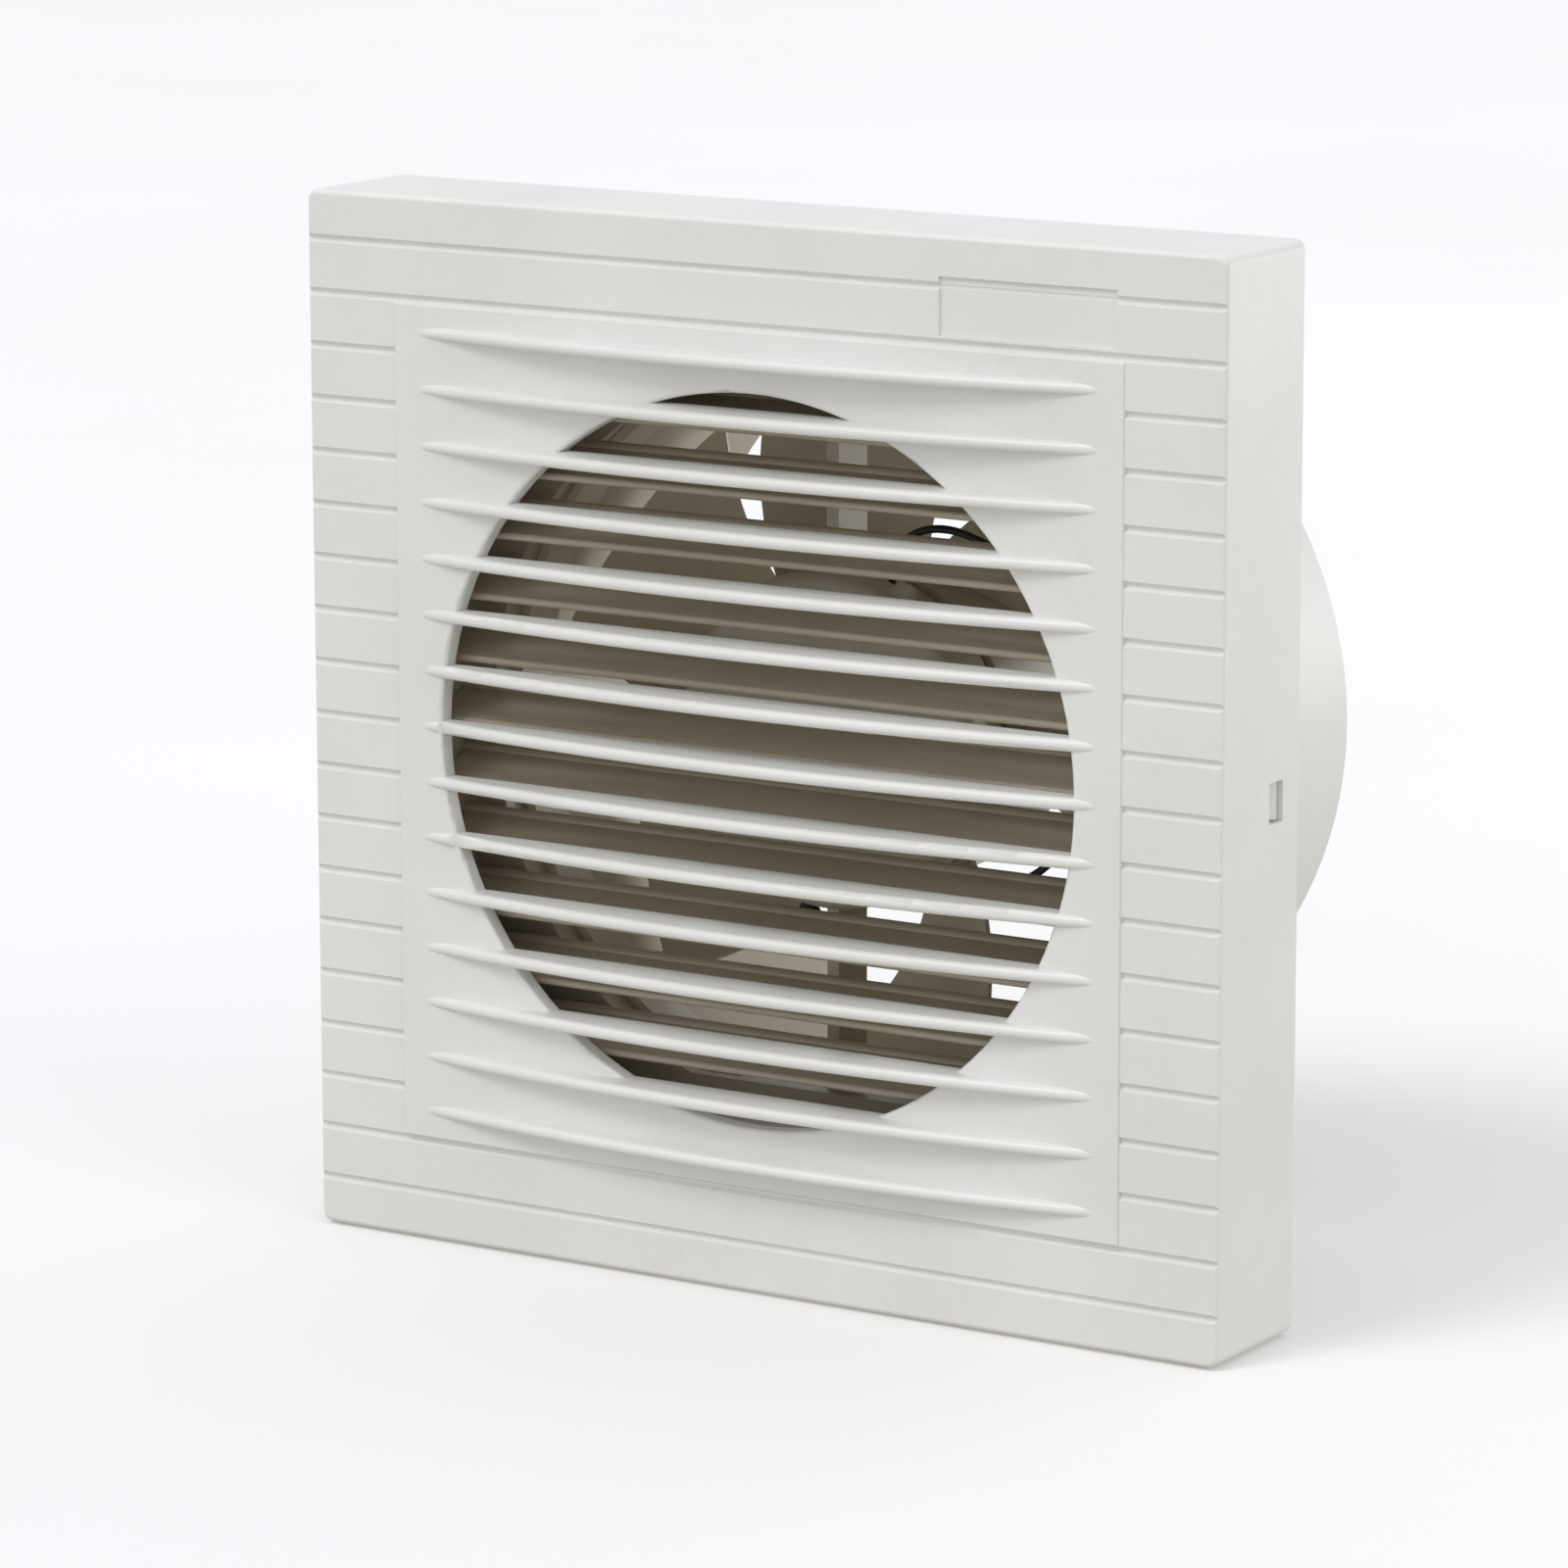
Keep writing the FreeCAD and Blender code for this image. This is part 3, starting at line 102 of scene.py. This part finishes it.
# The stage: half the floor's side and the lines along it, then the world's strength above the horizon and
# below it, and the height over which one turns into the other.
FLOOR_HALF, FLOOR_LINES = 6.0, 13
SKY_GLOW, GROUND_GLOW = 0.79, 0.54
HORIZON = 0.08
# Suns: name, the place that they shine from, angular size in degrees, strength.
SKIES = (
    ("key", (-0.35, -0.80, 1.05), 22.0, 0.84),
    ("right", (1.0, -0.25, 0.5), 40.0, 0.38),
)
# Round panels: name, place, width in metres, power in watts, colour.
PANELS = (
    ("behind", (0.35, 1.10, -0.02), 0.5, 3.2, "#FFFFFF"),
)
NODES_OF_SLOT = {}
for _part in frame["record"]["subparts"]:
    NODES_OF_SLOT.setdefault(_part["material_slot"], []).append(_part["node"])


# ---- colours and node building ------------------------------------------------------------------
def linear(hex_colour):
    """Linear RGBA from an sRGB hex colour: each channel is c/12.92 up to 0.04045, and above it
    ((c+0.055)/1.055)^2.4."""
    channels = [int(hex_colour[i:i + 2], 16) / 255 for i in (1, 3, 5)]
    return tuple(c / 12.92 if c <= 0.04045 else ((c + 0.055) / 1.055) ** 2.4 for c in channels) + (1.0,)


def add(tree, kind, settings=None, values=None, links=None):
    """Adds one node: settings are its own properties, values its sockets' constants, links their sources."""
    node = tree.nodes.new(kind)
    for name, value in (settings or {}).items():
        setattr(node, name, value)
    for name, value in (values or {}).items():
        node.inputs[name].default_value = value
    for name, source in (links or {}).items():
        tree.links.new(source, node.inputs[name])
    return node


def per_mm(size_mm):
    """Texture scale that gives a noise cell this many millimetres on Object coordinates."""
    return 1.0 / (size_mm * MM)


def new_material(name):
    material = bpy.data.materials.new(name)
    material.use_nodes = True
    tree = material.node_tree
    tree.nodes.clear()
    place = add(tree, "ShaderNodeTexCoord").outputs["Object"]
    return material, tree, place


def ramp(tree, source, stops):
    """A colour ramp from (position, hex) stops."""
    node = add(tree, "ShaderNodeValToRGB", links={"Fac": source})
    elements = node.color_ramp.elements
    while len(elements) < len(stops):
        elements.new(0.5)
    for element, (position, colour) in zip(elements, stops):
        element.position = position
        element.color = linear(colour)
    return node.outputs["Color"]


def spread(tree, source, low, high):
    """Maps a 0 to 1 factor onto low to high."""
    return add(tree, "ShaderNodeMapRange", values={"To Min": low, "To Max": high},
               links={"Value": source}).outputs["Result"]


def output(tree, shader):
    add(tree, "ShaderNodeOutputMaterial", links={"Surface": shader.outputs["BSDF"]})


# ---- finishes -----------------------------------------------------------------------------------
def moulded_abs(name, base, shade, roughness=0.36, grain_mm=0.35, grain_depth=0.012, ior=1.54):
    """Injection-moulded ABS: faint cloudy flow marks, a fine spark-eroded grain and slightly uneven gloss."""
    material, tree, place = new_material(name)
    clouds = add(tree, "ShaderNodeTexNoise",
                 values={"Scale": per_mm(FLOW_MARK_MM), "Detail": 3.0, "Roughness": 0.55},
                 links={"Vector": place}).outputs["Fac"]
    specks = add(tree, "ShaderNodeTexNoise",
                 values={"Scale": per_mm(SPECK_MM), "Detail": 4.0, "Roughness": 0.65},
                 links={"Vector": place}).outputs["Fac"]
    tint = ramp(tree, clouds, [(0.32, shade), (0.62, base)])
    dust_and_painted_shade = ramp(tree, specks, [(0.22, "#F6F5F2"), (0.50, "#FFFFFF")])
    colour = add(tree, "ShaderNodeMix", {"data_type": "RGBA", "blend_type": "MULTIPLY"}, {"Factor": 0.35},
                 {6: tint, 7: dust_and_painted_shade}).outputs[2]
    grain = add(tree, "ShaderNodeTexNoise", values={"Scale": per_mm(grain_mm), "Detail": 2.0},
                links={"Vector": place}).outputs["Fac"]
    bump = add(tree, "ShaderNodeBump", values={"Strength": 0.35, "Distance": grain_depth * MM},
               links={"Height": grain}).outputs["Normal"]
    gloss = spread(tree, clouds, roughness - 0.05, roughness + 0.06)
    output(tree, add(tree, "ShaderNodeBsdfPrincipled", values={"IOR": ior, "Metallic": 0.0},
                     links={"Base Color": colour, "Roughness": gloss, "Normal": bump}))
    return material


def moulded_abs_duct(name, base, shade, film):
    """The same ABS, with a warm, darker film of painted shade on the duct's inside.
    It starts near the middle of the wall, so it shows on the inner face only."""
    material = moulded_abs(name, base, shade, 0.40)
    tree = material.node_tree
    shader = next(n for n in tree.nodes if n.type == "BSDF_PRINCIPLED")
    unshaded = shader.inputs["Base Color"].links[0].from_socket
    place = add(tree, "ShaderNodeTexCoord").outputs["Object"]
    flat = add(tree, "ShaderNodeVectorMath", {"operation": "MULTIPLY"}, {1: (1.0, 0.0, 1.0)},
               {0: place}).outputs["Vector"]
    distance = add(tree, "ShaderNodeVectorMath", {"operation": "LENGTH"}, links={0: flat}).outputs["Value"]
    # Painted shade: a warm tint multiplies the colour wherever the surface lies inside the duct's bore.
    inside = add(tree, "ShaderNodeMapRange", {"interpolation_type": "SMOOTHSTEP"},
                 {"From Min": (FILM_MM + FILM_EDGE_MM) * MM, "From Max": FILM_MM * MM}, {"Value": distance})
    colour = add(tree, "ShaderNodeMix", {"data_type": "RGBA", "blend_type": "MULTIPLY"}, {7: linear(film)},
                 {"Factor": inside.outputs["Result"], 6: unshaded}).outputs[2]
    tree.links.new(colour, shader.inputs["Base Color"])
    return material


def moulded_nylon(name, base, shade, roughness=0.5):
    """Nylon or acetal straight from the mould: waxy, with a fine even tooth and softly clouded colour."""
    return moulded_abs(name, base, shade, roughness, 0.28, 0.018, 1.53)


def rubber(name, base, shade):
    """Moulded EPDM rubber: dull, with a dusty bloom in patches."""
    return moulded_abs(name, base, shade, 0.72, 0.4, 0.03, 1.52)


def pvc_lead(name, base, shade):
    """Extruded PVC wire insulation: smooth and slightly glossy, with scuffs along its length."""
    return moulded_abs(name, base, shade, 0.32, 0.8, 0.01, 1.53)


def plated_metal(name, base, shade, roughness=0.3, line_mm=0.12, lines=(1.0, 0.06, 1.0)):
    """Bright plated or machined metal: fine lines from tooling, darker haze in patches."""
    material, tree, place = new_material(name)
    stretched = add(tree, "ShaderNodeMapping", values={"Scale": lines},
                    links={"Vector": place}).outputs["Vector"]
    scratch = add(tree, "ShaderNodeTexNoise", values={"Scale": per_mm(line_mm), "Detail": 3.0},
                  links={"Vector": stretched}).outputs["Fac"]
    haze = add(tree, "ShaderNodeTexNoise", values={"Scale": per_mm(METAL_HAZE_MM), "Detail": 3.0},
               links={"Vector": place}).outputs["Fac"]
    colour = ramp(tree, haze, [(0.3, shade), (0.65, base)])
    bump = add(tree, "ShaderNodeBump", values={"Strength": 0.3, "Distance": 0.01 * MM},
               links={"Height": scratch}).outputs["Normal"]
    gloss = spread(tree, scratch, roughness - 0.08, roughness + 0.12)
    output(tree, add(tree, "ShaderNodeBsdfPrincipled", values={"Metallic": 1.0},
                     links={"Base Color": colour, "Roughness": gloss, "Normal": bump}))
    return material


def laminated_steel(name, base, shade):
    """Stacked electrical steel: thin sheets seen edge-on, as dark and light bands along the shaft."""
    material, tree, place = new_material(name)
    bands = add(tree, "ShaderNodeTexWave",
                {"wave_type": "BANDS", "bands_direction": "Y", "wave_profile": "SIN"},
                {"Scale": per_mm(SHEET_MM) / math.tau, "Distortion": 0.4, "Detail": 1.0},
                {"Vector": place}).outputs["Fac"]
    haze = add(tree, "ShaderNodeTexNoise", values={"Scale": per_mm(STEEL_HAZE_MM), "Detail": 4.0},
               links={"Vector": place}).outputs["Fac"]
    mixed = add(tree, "ShaderNodeMath", {"operation": "MULTIPLY"}, links={0: bands, 1: haze}).outputs["Value"]
    colour = ramp(tree, mixed, [(0.1, shade), (0.5, base)])
    bump = add(tree, "ShaderNodeBump", values={"Strength": 0.6, "Distance": 0.08 * MM},
               links={"Height": bands}).outputs["Normal"]
    gloss = spread(tree, haze, 0.36, 0.55)
    output(tree, add(tree, "ShaderNodeBsdfPrincipled", values={"Metallic": 1.0},
                     links={"Base Color": colour, "Roughness": gloss, "Normal": bump}))
    return material


FINISHES = {
    "cover_abs": lambda s: moulded_abs("satin moulded ABS, cover", s.white, s.white_shade),
    # The housing's inside carries a warm film of painted shade.
    "housing_abs": lambda s: moulded_abs_duct("satin moulded ABS, housing", s.white, s.white_shade, s.dust_and_painted_shade),
    # Bracket, cap and impeller: the inner colours are painted shade, a darker and warmer copy of the cover's
    # white.
    "bracket_abs": lambda s: moulded_abs("satin moulded ABS, bracket", s.inner_white_painted_shade, s.inner_clouded_painted_shade, 0.42),
    # Frame and slats: the slat colours are painted shade, a still darker and warmer copy of the cover's white.
    "frame_abs": lambda s: moulded_abs("satin moulded ABS, shutter frame", s.slat_white_painted_shade, s.slat_clouded_painted_shade, 0.42),
    "slat_abs": lambda s: moulded_abs("satin moulded ABS, slats", s.slat_white_painted_shade, s.slat_clouded_painted_shade, 0.40),
    "cap_abs": lambda s: moulded_abs("satin moulded ABS, motor cap", s.inner_white_painted_shade, s.inner_clouded_painted_shade, 0.42),
    "impeller_abs": lambda s: moulded_abs("satin moulded ABS, impeller", s.inner_white_painted_shade, s.inner_clouded_painted_shade, 0.34),
    "linkage_acetal": lambda s: moulded_nylon("natural acetal", "#E9E7DE", "#DAD7CB", 0.42),
    "actuator_nylon": lambda s: moulded_nylon("glass-filled nylon, black", "#26272A", "#1B1C1E"),
    "plunger_brass": lambda s: plated_metal("turned brass, plunger", "#D9B667", "#B08A3E", 0.28),
    "spring_steel": lambda s: plated_metal("drawn spring steel", "#B9BBBE", "#8E9094", 0.25),
    "zinc_steel": lambda s: plated_metal("bright zinc plated steel", "#CDD1D6", "#A9B0BA", 0.30),
    "lamination_steel": lambda s: laminated_steel("stacked electrical steel", "#8B8E93", "#4A4C50"),
    "copper_winding": lambda s: plated_metal("enamelled copper wire", "#C8733A", "#8F4A22", 0.30),
    "copper_ring": lambda s: plated_metal("bare copper", "#D98A63", "#A85F3F", 0.34),
    "stamped_steel": lambda s: plated_metal("stamped steel sheet", "#C2C4C6", "#96999C", 0.36, 0.3,
                                            (1, 1, 0.08)),
    "sintered_bronze": lambda s: plated_metal("oil-filled sintered bronze", "#A98352", "#6F5230", 0.48, 0.2,
                                              (1, 1, 1)),
    "rotor_aluminium": lambda s: laminated_steel("die-cast rotor", "#A9ABAE", "#6A6C70"),
    "shaft_steel": lambda s: plated_metal("ground steel", "#D3D5D8", "#B4B7BB", 0.18, 0.06, (1, 8, 1)),
    "washer_nylon": lambda s: moulded_nylon("natural nylon", "#E6E0CD", "#D3CBB2"),
    "nut_brass": lambda s: plated_metal("turned brass, nut", "#D9B667", "#B08A3E", 0.26),
    "terminal_nylon": lambda s: moulded_nylon("white nylon", "#EDEDE9", "#DEDDD6", 0.46),
    "terminal_brass": lambda s: plated_metal("plated brass", "#D2C08D", "#A8945C", 0.3),
    "grommet_rubber": lambda s: rubber("EPDM rubber", "#2B2B2C", "#1C1C1D"),
    "lead_pvc": lambda s: pvc_lead("PVC insulation, black", "#1D1D1F", "#131314"),
}


def finish(slots, look):
    """Gives every CAD node of these slots its material."""
    made = {}
    for slot in slots:
        material = FINISHES[slot](look)
        made[slot] = material
        for node in NODES_OF_SLOT[slot]:
            data = frame["nodes"][node].data
            data.materials.clear()
            data.materials.append(material)
    return made


# ---- surfaces -----------------------------------------------------------------------------------
def grid_object(name, points, close_v=False, caps=False):
    """An object from a grid of points[u, v]: quads join neighbours, close_v joins the last v to the first,
    and caps close both ends along u."""
    count_u, count_v = points.shape[:2]
    index = np.arange(count_u * count_v).reshape(count_u, count_v)
    us = np.arange(count_u - 1)
    vs = np.arange(count_v if close_v else count_v - 1)
    u, v = np.meshgrid(us, vs, indexing="ij")
    u1, v1 = u + 1, (v + 1) % count_v
    quads = np.stack([index[u, v], index[u1, v], index[u1, v1], index[u, v1]], -1).reshape(-1, 4).tolist()
    if caps:
        quads += [index[0].tolist(), index[-1][::-1].tolist()]
    mesh = bpy.data.meshes.new(name)
    mesh.from_pydata(points.reshape(-1, 3).tolist(), [], quads)
    mesh.polygons.foreach_set("use_smooth", np.ones(len(mesh.polygons), bool))
    mesh.update()
    made = bpy.data.objects.new(name, mesh)
    bpy.context.scene.collection.objects.link(made)
    return made


def tube_points(path, radius, sides):
    """Circles of a fixed radius along a path. Each stands square to the path's tangent, and starts square to
    one fixed direction too, which keeps them from twisting."""
    tangent = np.gradient(path, axis=0)
    tangent /= np.linalg.norm(tangent, axis=1, keepdims=True)
    side = np.cross(tangent, np.array([0.21, 0.35, 0.91]))
    side /= np.linalg.norm(side, axis=1, keepdims=True)
    other = np.cross(tangent, side)
    turn = np.linspace(0, 2 * math.pi, sides, endpoint=False)
    ring = side[:, None] * np.cos(turn)[None, :, None] + other[:, None] * np.sin(turn)[None, :, None]
    return path[:, None] + radius * ring


# ---- properties ---------------------------------------------------------------------------------
class FanLook(bpy.types.PropertyGroup):
    """Colours of the moulded pieces, as sRGB hex."""
    white: bpy.props.StringProperty(name="White", description="Cover and housing plastic", default="#EBEBE9")
    white_shade: bpy.props.StringProperty(name="White, clouded", description="Darker flow marks in the cover",
                                          default="#E5E5E2")
    # Painted shade: the inner white and its clouded tone are a darker, warmer copy of the cover's white, for
    # the pieces behind the grille.
    inner_white_painted_shade: bpy.props.StringProperty(name="Inner white", description="Plastic behind the grille",
                                          default="#DAD3C5")
    inner_clouded_painted_shade: bpy.props.StringProperty(name="Inner white, clouded",
                                          description="Darker flow marks behind it", default="#CFC7B8")
    # Painted shade: the slat white and its clouded tone are a still darker, warmer copy of the cover's white,
    # for the shutter.
    slat_white_painted_shade: bpy.props.StringProperty(name="Slat white", description="Dusty plastic of the shutter",
                                         default="#BFB4A2")
    slat_clouded_painted_shade: bpy.props.StringProperty(name="Slat white, clouded",
                                         description="Darker marks on the shutter", default="#B2A693")
    # Painted shade: a warm tint that darkens the duct's inside and stands for the shade in there.
    dust_and_painted_shade: bpy.props.StringProperty(name="Dust", description="Film on the inside of the duct",
                                   default="#CFC3AE")


class FanSizes(bpy.types.PropertyGroup):
    """Sizes of the fine pieces."""
    spring_turns: bpy.props.IntProperty(name="Spring turns", description="Coils of the return spring",
                                        default=15)
    spring_wire: bpy.props.FloatProperty(name="Spring wire", description="Diameter of the spring's wire",
                                         default=0.00056, subtype="DISTANCE", unit="LENGTH")


class FanStage(bpy.types.PropertyGroup):
    """Camera and light."""
    lens: bpy.props.FloatProperty(name="Lens", description="Focal length in millimetres", default=160.6)
    yaw: bpy.props.FloatProperty(name="Yaw", description="Camera's turn to the object's right side",
                                 default=math.radians(32.34), subtype="ANGLE", unit="ROTATION")
    pitch: bpy.props.FloatProperty(name="Pitch", description="Camera's tilt below level",
                                   default=math.radians(11.38), subtype="ANGLE", unit="ROTATION")
    roll: bpy.props.FloatProperty(name="Roll", description="Camera's lean", default=-0.002,
                                  subtype="ANGLE", unit="ROTATION")
    place: bpy.props.FloatVectorProperty(name="Place", description="Camera's place",
                                         default=(0.5370, -0.8614, 0.1976), subtype="XYZ", unit="LENGTH")
    floor_gap: bpy.props.FloatProperty(name="Floor gap", description="Floor below the lower edge",
                                       default=0.0004, subtype="DISTANCE", unit="LENGTH")


# ---- operators ----------------------------------------------------------------------------------
class FAN_OT_casing(bpy.types.Operator):
    """Finish the snap-on cover and the rear housing"""
    bl_idname = "fan.casing"
    bl_label = "Casing"

    def execute(self, context):
        finish(["cover_abs", "housing_abs"], context.scene.fan_look)
        return {"FINISHED"}


class FAN_OT_shutter(bpy.types.Operator):
    """Finish the shutter frame, its slats and their linkage"""
    bl_idname = "fan.shutter"
    bl_label = "Shutter"

    def execute(self, context):
        finish(["frame_abs", "slat_abs", "linkage_acetal"], context.scene.fan_look)
        return {"FINISHED"}


class FAN_OT_drive(bpy.types.Operator):
    """Finish the thermal actuator and coil the return spring"""
    bl_idname = "fan.drive"
    bl_label = "Shutter drive"

    def execute(self, context):
        made = finish(["actuator_nylon", "plunger_brass", "spring_steel"], context.scene.fan_look)
        sizes = context.scene.fan_sizes
        low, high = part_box("return_spring")
        wire = sizes.spring_wire / 2
        centre = (low + high) / 2
        radius = (high.x - low.x) / 2 - wire
        spring = self.coil(centre, radius, low.z + wire, high.z - wire, wire, sizes.spring_turns)
        spring.data.materials.append(made["spring_steel"])
        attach(spring, "housing")
        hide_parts("return_spring")
        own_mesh(spring)
        return {"FINISHED"}

    @staticmethod
    def coil(centre, radius, z0, z1, wire, turns):
        """A tube on a helix: the angle grows evenly while the height eases in and out, so the end coils lie
        close."""
        t = np.linspace(0, 1, turns * TURN_POINTS)
        angle = 2 * math.pi * turns * t
        ease = t - END_EASE * np.sin(2 * math.pi * t) / (2 * math.pi)
        path = np.stack([centre.x + radius * np.cos(angle), centre.y + radius * np.sin(angle),
                         z0 + (z1 - z0) * ease], 1)
        return grid_object("return_spring_coil", tube_points(path, wire, WIRE_SIDES), close_v=True, caps=True)


class FAN_OT_motor(bpy.types.Operator):
    """Finish the motor, its cap and its fixings"""
    bl_idname = "fan.motor"
    bl_label = "Motor"

    def execute(self, context):
        finish(["cap_abs", "bracket_abs", "lamination_steel", "copper_winding", "copper_ring",
                "stamped_steel", "sintered_bronze", "rotor_aluminium", "shaft_steel", "washer_nylon",
                "zinc_steel"], context.scene.fan_look)
        return {"FINISHED"}


class FAN_OT_impeller(bpy.types.Operator):
    """Finish the impeller and the nut that holds it"""
    bl_idname = "fan.impeller"
    bl_label = "Impeller"

    def execute(self, context):
        finish(["impeller_abs", "nut_brass"], context.scene.fan_look)
        return {"FINISHED"}


class FAN_OT_electrics(bpy.types.Operator):
    """Finish the terminal block, the cable grommet and the leads"""
    bl_idname = "fan.electrics"
    bl_label = "Electrics"

    def execute(self, context):
        finish(["terminal_nylon", "terminal_brass", "grommet_rubber", "lead_pvc"], context.scene.fan_look)
        return {"FINISHED"}


class FAN_OT_stage(bpy.types.Operator):
    """Set the floor, the soft light and the camera"""
    bl_idname = "fan.stage"
    bl_label = "Stage"

    def execute(self, context):
        stage = context.scene.fan_stage
        self.floor(stage)
        self.world(context.scene)
        self.lights()
        self.camera(context.scene, stage)
        context.scene.view_settings.view_transform = "Standard"
        return {"FINISHED"}

    @staticmethod
    def floor(stage):
        """A flat square just below the casing. It gives no bounced light of its own: the world's lower half
        stands in for that."""
        z = CAD_BOX[0][2] - stage.floor_gap
        side = np.linspace(-FLOOR_HALF, FLOOR_HALF, FLOOR_LINES)
        x, y = np.meshgrid(side, side, indexing="ij")
        ground = grid_object("floor", np.stack([x, y, np.full_like(x, z)], -1))
        material, tree, place = new_material("matt painted floor")
        mottle = add(tree, "ShaderNodeTexNoise",
                     values={"Scale": per_mm(FLOOR_MOTTLE_MM), "Detail": 3.0},
                     links={"Vector": place}).outputs["Fac"]
        colour = ramp(tree, mottle, [(0.3, "#F6F6F5"), (0.7, "#FAFAFA")])
        output(tree, add(tree, "ShaderNodeBsdfPrincipled",
                         values={"Roughness": 0.9, "Specular IOR Level": 0.1}, links={"Base Color": colour}))
        ground.data.materials.append(material)
        ground.visible_diffuse = False

    @staticmethod
    def world(scene):
        """Nearly white where it is seen directly. It is a little warm below the horizon and cool above, and as
        a light it is dimmer below."""
        world = bpy.data.worlds.new("studio")
        world.use_nodes = True
        tree = world.node_tree
        tree.nodes.clear()
        seen = add(tree, "ShaderNodeLightPath").outputs["Is Camera Ray"]
        heading = add(tree, "ShaderNodeTexCoord").outputs["Generated"]
        height = add(tree, "ShaderNodeSeparateXYZ", links={"Vector": heading}).outputs["Z"]
        level = add(tree, "ShaderNodeMapRange", {"interpolation_type": "SMOOTHSTEP"},
                    {"From Min": -HORIZON, "From Max": HORIZON}, {"Value": height}).outputs["Result"]
        glow = spread(tree, level, GROUND_GLOW, SKY_GLOW)
        tint = ramp(tree, level, [(0.0, "#FFFBF0"), (1.0, "#FAFBFF")])
        strength = add(tree, "ShaderNodeMix", values={"B": 1.0},
                       links={"Factor": seen, "A": glow}).outputs["Result"]
        light = add(tree, "ShaderNodeBackground", links={"Color": tint, "Strength": strength})
        add(tree, "ShaderNodeOutputWorld", links={"Surface": light.outputs["Background"]})
        scene.world = world

    @staticmethod
    def lights():
        """A broad key from the high front left, a softer one from the right, and a soft panel behind. Each
        points at the origin."""
        lamps = []
        for name, place, angle, strength in SKIES:
            sky = bpy.data.lights.new(name, "SUN")
            sky.angle = math.radians(angle)
            sky.energy = strength
            lamps.append((sky, place))
        for name, place, size, power, colour in PANELS:
            panel = bpy.data.lights.new(name, "AREA")
            panel.shape = "DISK"
            panel.size = size
            panel.energy = power
            panel.color = linear(colour)[:3]
            lamps.append((panel, place))
        for data, place in lamps:
            lamp = bpy.data.objects.new(data.name, data)
            lamp.location = place
            lamp.rotation_euler = (-Vector(place)).to_track_quat("-Z", "Y").to_euler()
            bpy.context.scene.collection.objects.link(lamp)

    @staticmethod
    def camera(scene, stage):
        data = bpy.data.cameras.new("camera")
        data.lens = stage.lens
        data.sensor_width = 36.0
        data.clip_start, data.clip_end = 0.05, 40.0
        forward = Vector((-math.sin(stage.yaw) * math.cos(stage.pitch),
                          math.cos(stage.yaw) * math.cos(stage.pitch), -math.sin(stage.pitch)))
        aim = forward.to_track_quat("-Z", "Y") @ Quaternion((0, 0, 1), stage.roll)
        camera = bpy.data.objects.new("camera", data)
        camera.location = stage.place
        camera.rotation_euler = aim.to_euler()
        scene.collection.objects.link(camera)
        scene.camera = camera


class FAN_PT_panel(bpy.types.Panel):
    """Buttons for each group of pieces"""
    bl_idname = "FAN_PT_panel"
    bl_label = "Extractor fan"
    bl_space_type = "VIEW_3D"
    bl_region_type = "UI"
    bl_category = "Fan"

    def draw(self, context):
        for group in (context.scene.fan_look, context.scene.fan_sizes, context.scene.fan_stage):
            for name in group.__annotations__:
                self.layout.prop(group, name)
        for operator in OPERATORS:
            self.layout.operator(operator.bl_idname)


GROUPS = {"fan_look": FanLook, "fan_sizes": FanSizes, "fan_stage": FanStage}
OPERATORS = (FAN_OT_casing, FAN_OT_shutter, FAN_OT_drive, FAN_OT_motor, FAN_OT_impeller, FAN_OT_electrics,
             FAN_OT_stage)


def register():
    for name, group in GROUPS.items():
        bpy.utils.register_class(group)
        setattr(bpy.types.Scene, name, bpy.props.PointerProperty(type=group))
    for made in OPERATORS + (FAN_PT_panel,):
        bpy.utils.register_class(made)


def unregister():
    for made in (FAN_PT_panel,) + OPERATORS[::-1]:
        bpy.utils.unregister_class(made)
    for name, group in GROUPS.items():
        delattr(bpy.types.Scene, name)
        bpy.utils.unregister_class(group)


def main():
    register()
    for operator in OPERATORS:
        group, name = operator.bl_idname.split(".")
        getattr(getattr(bpy.ops, group), name)()


if __name__ == "__main__":
    main()
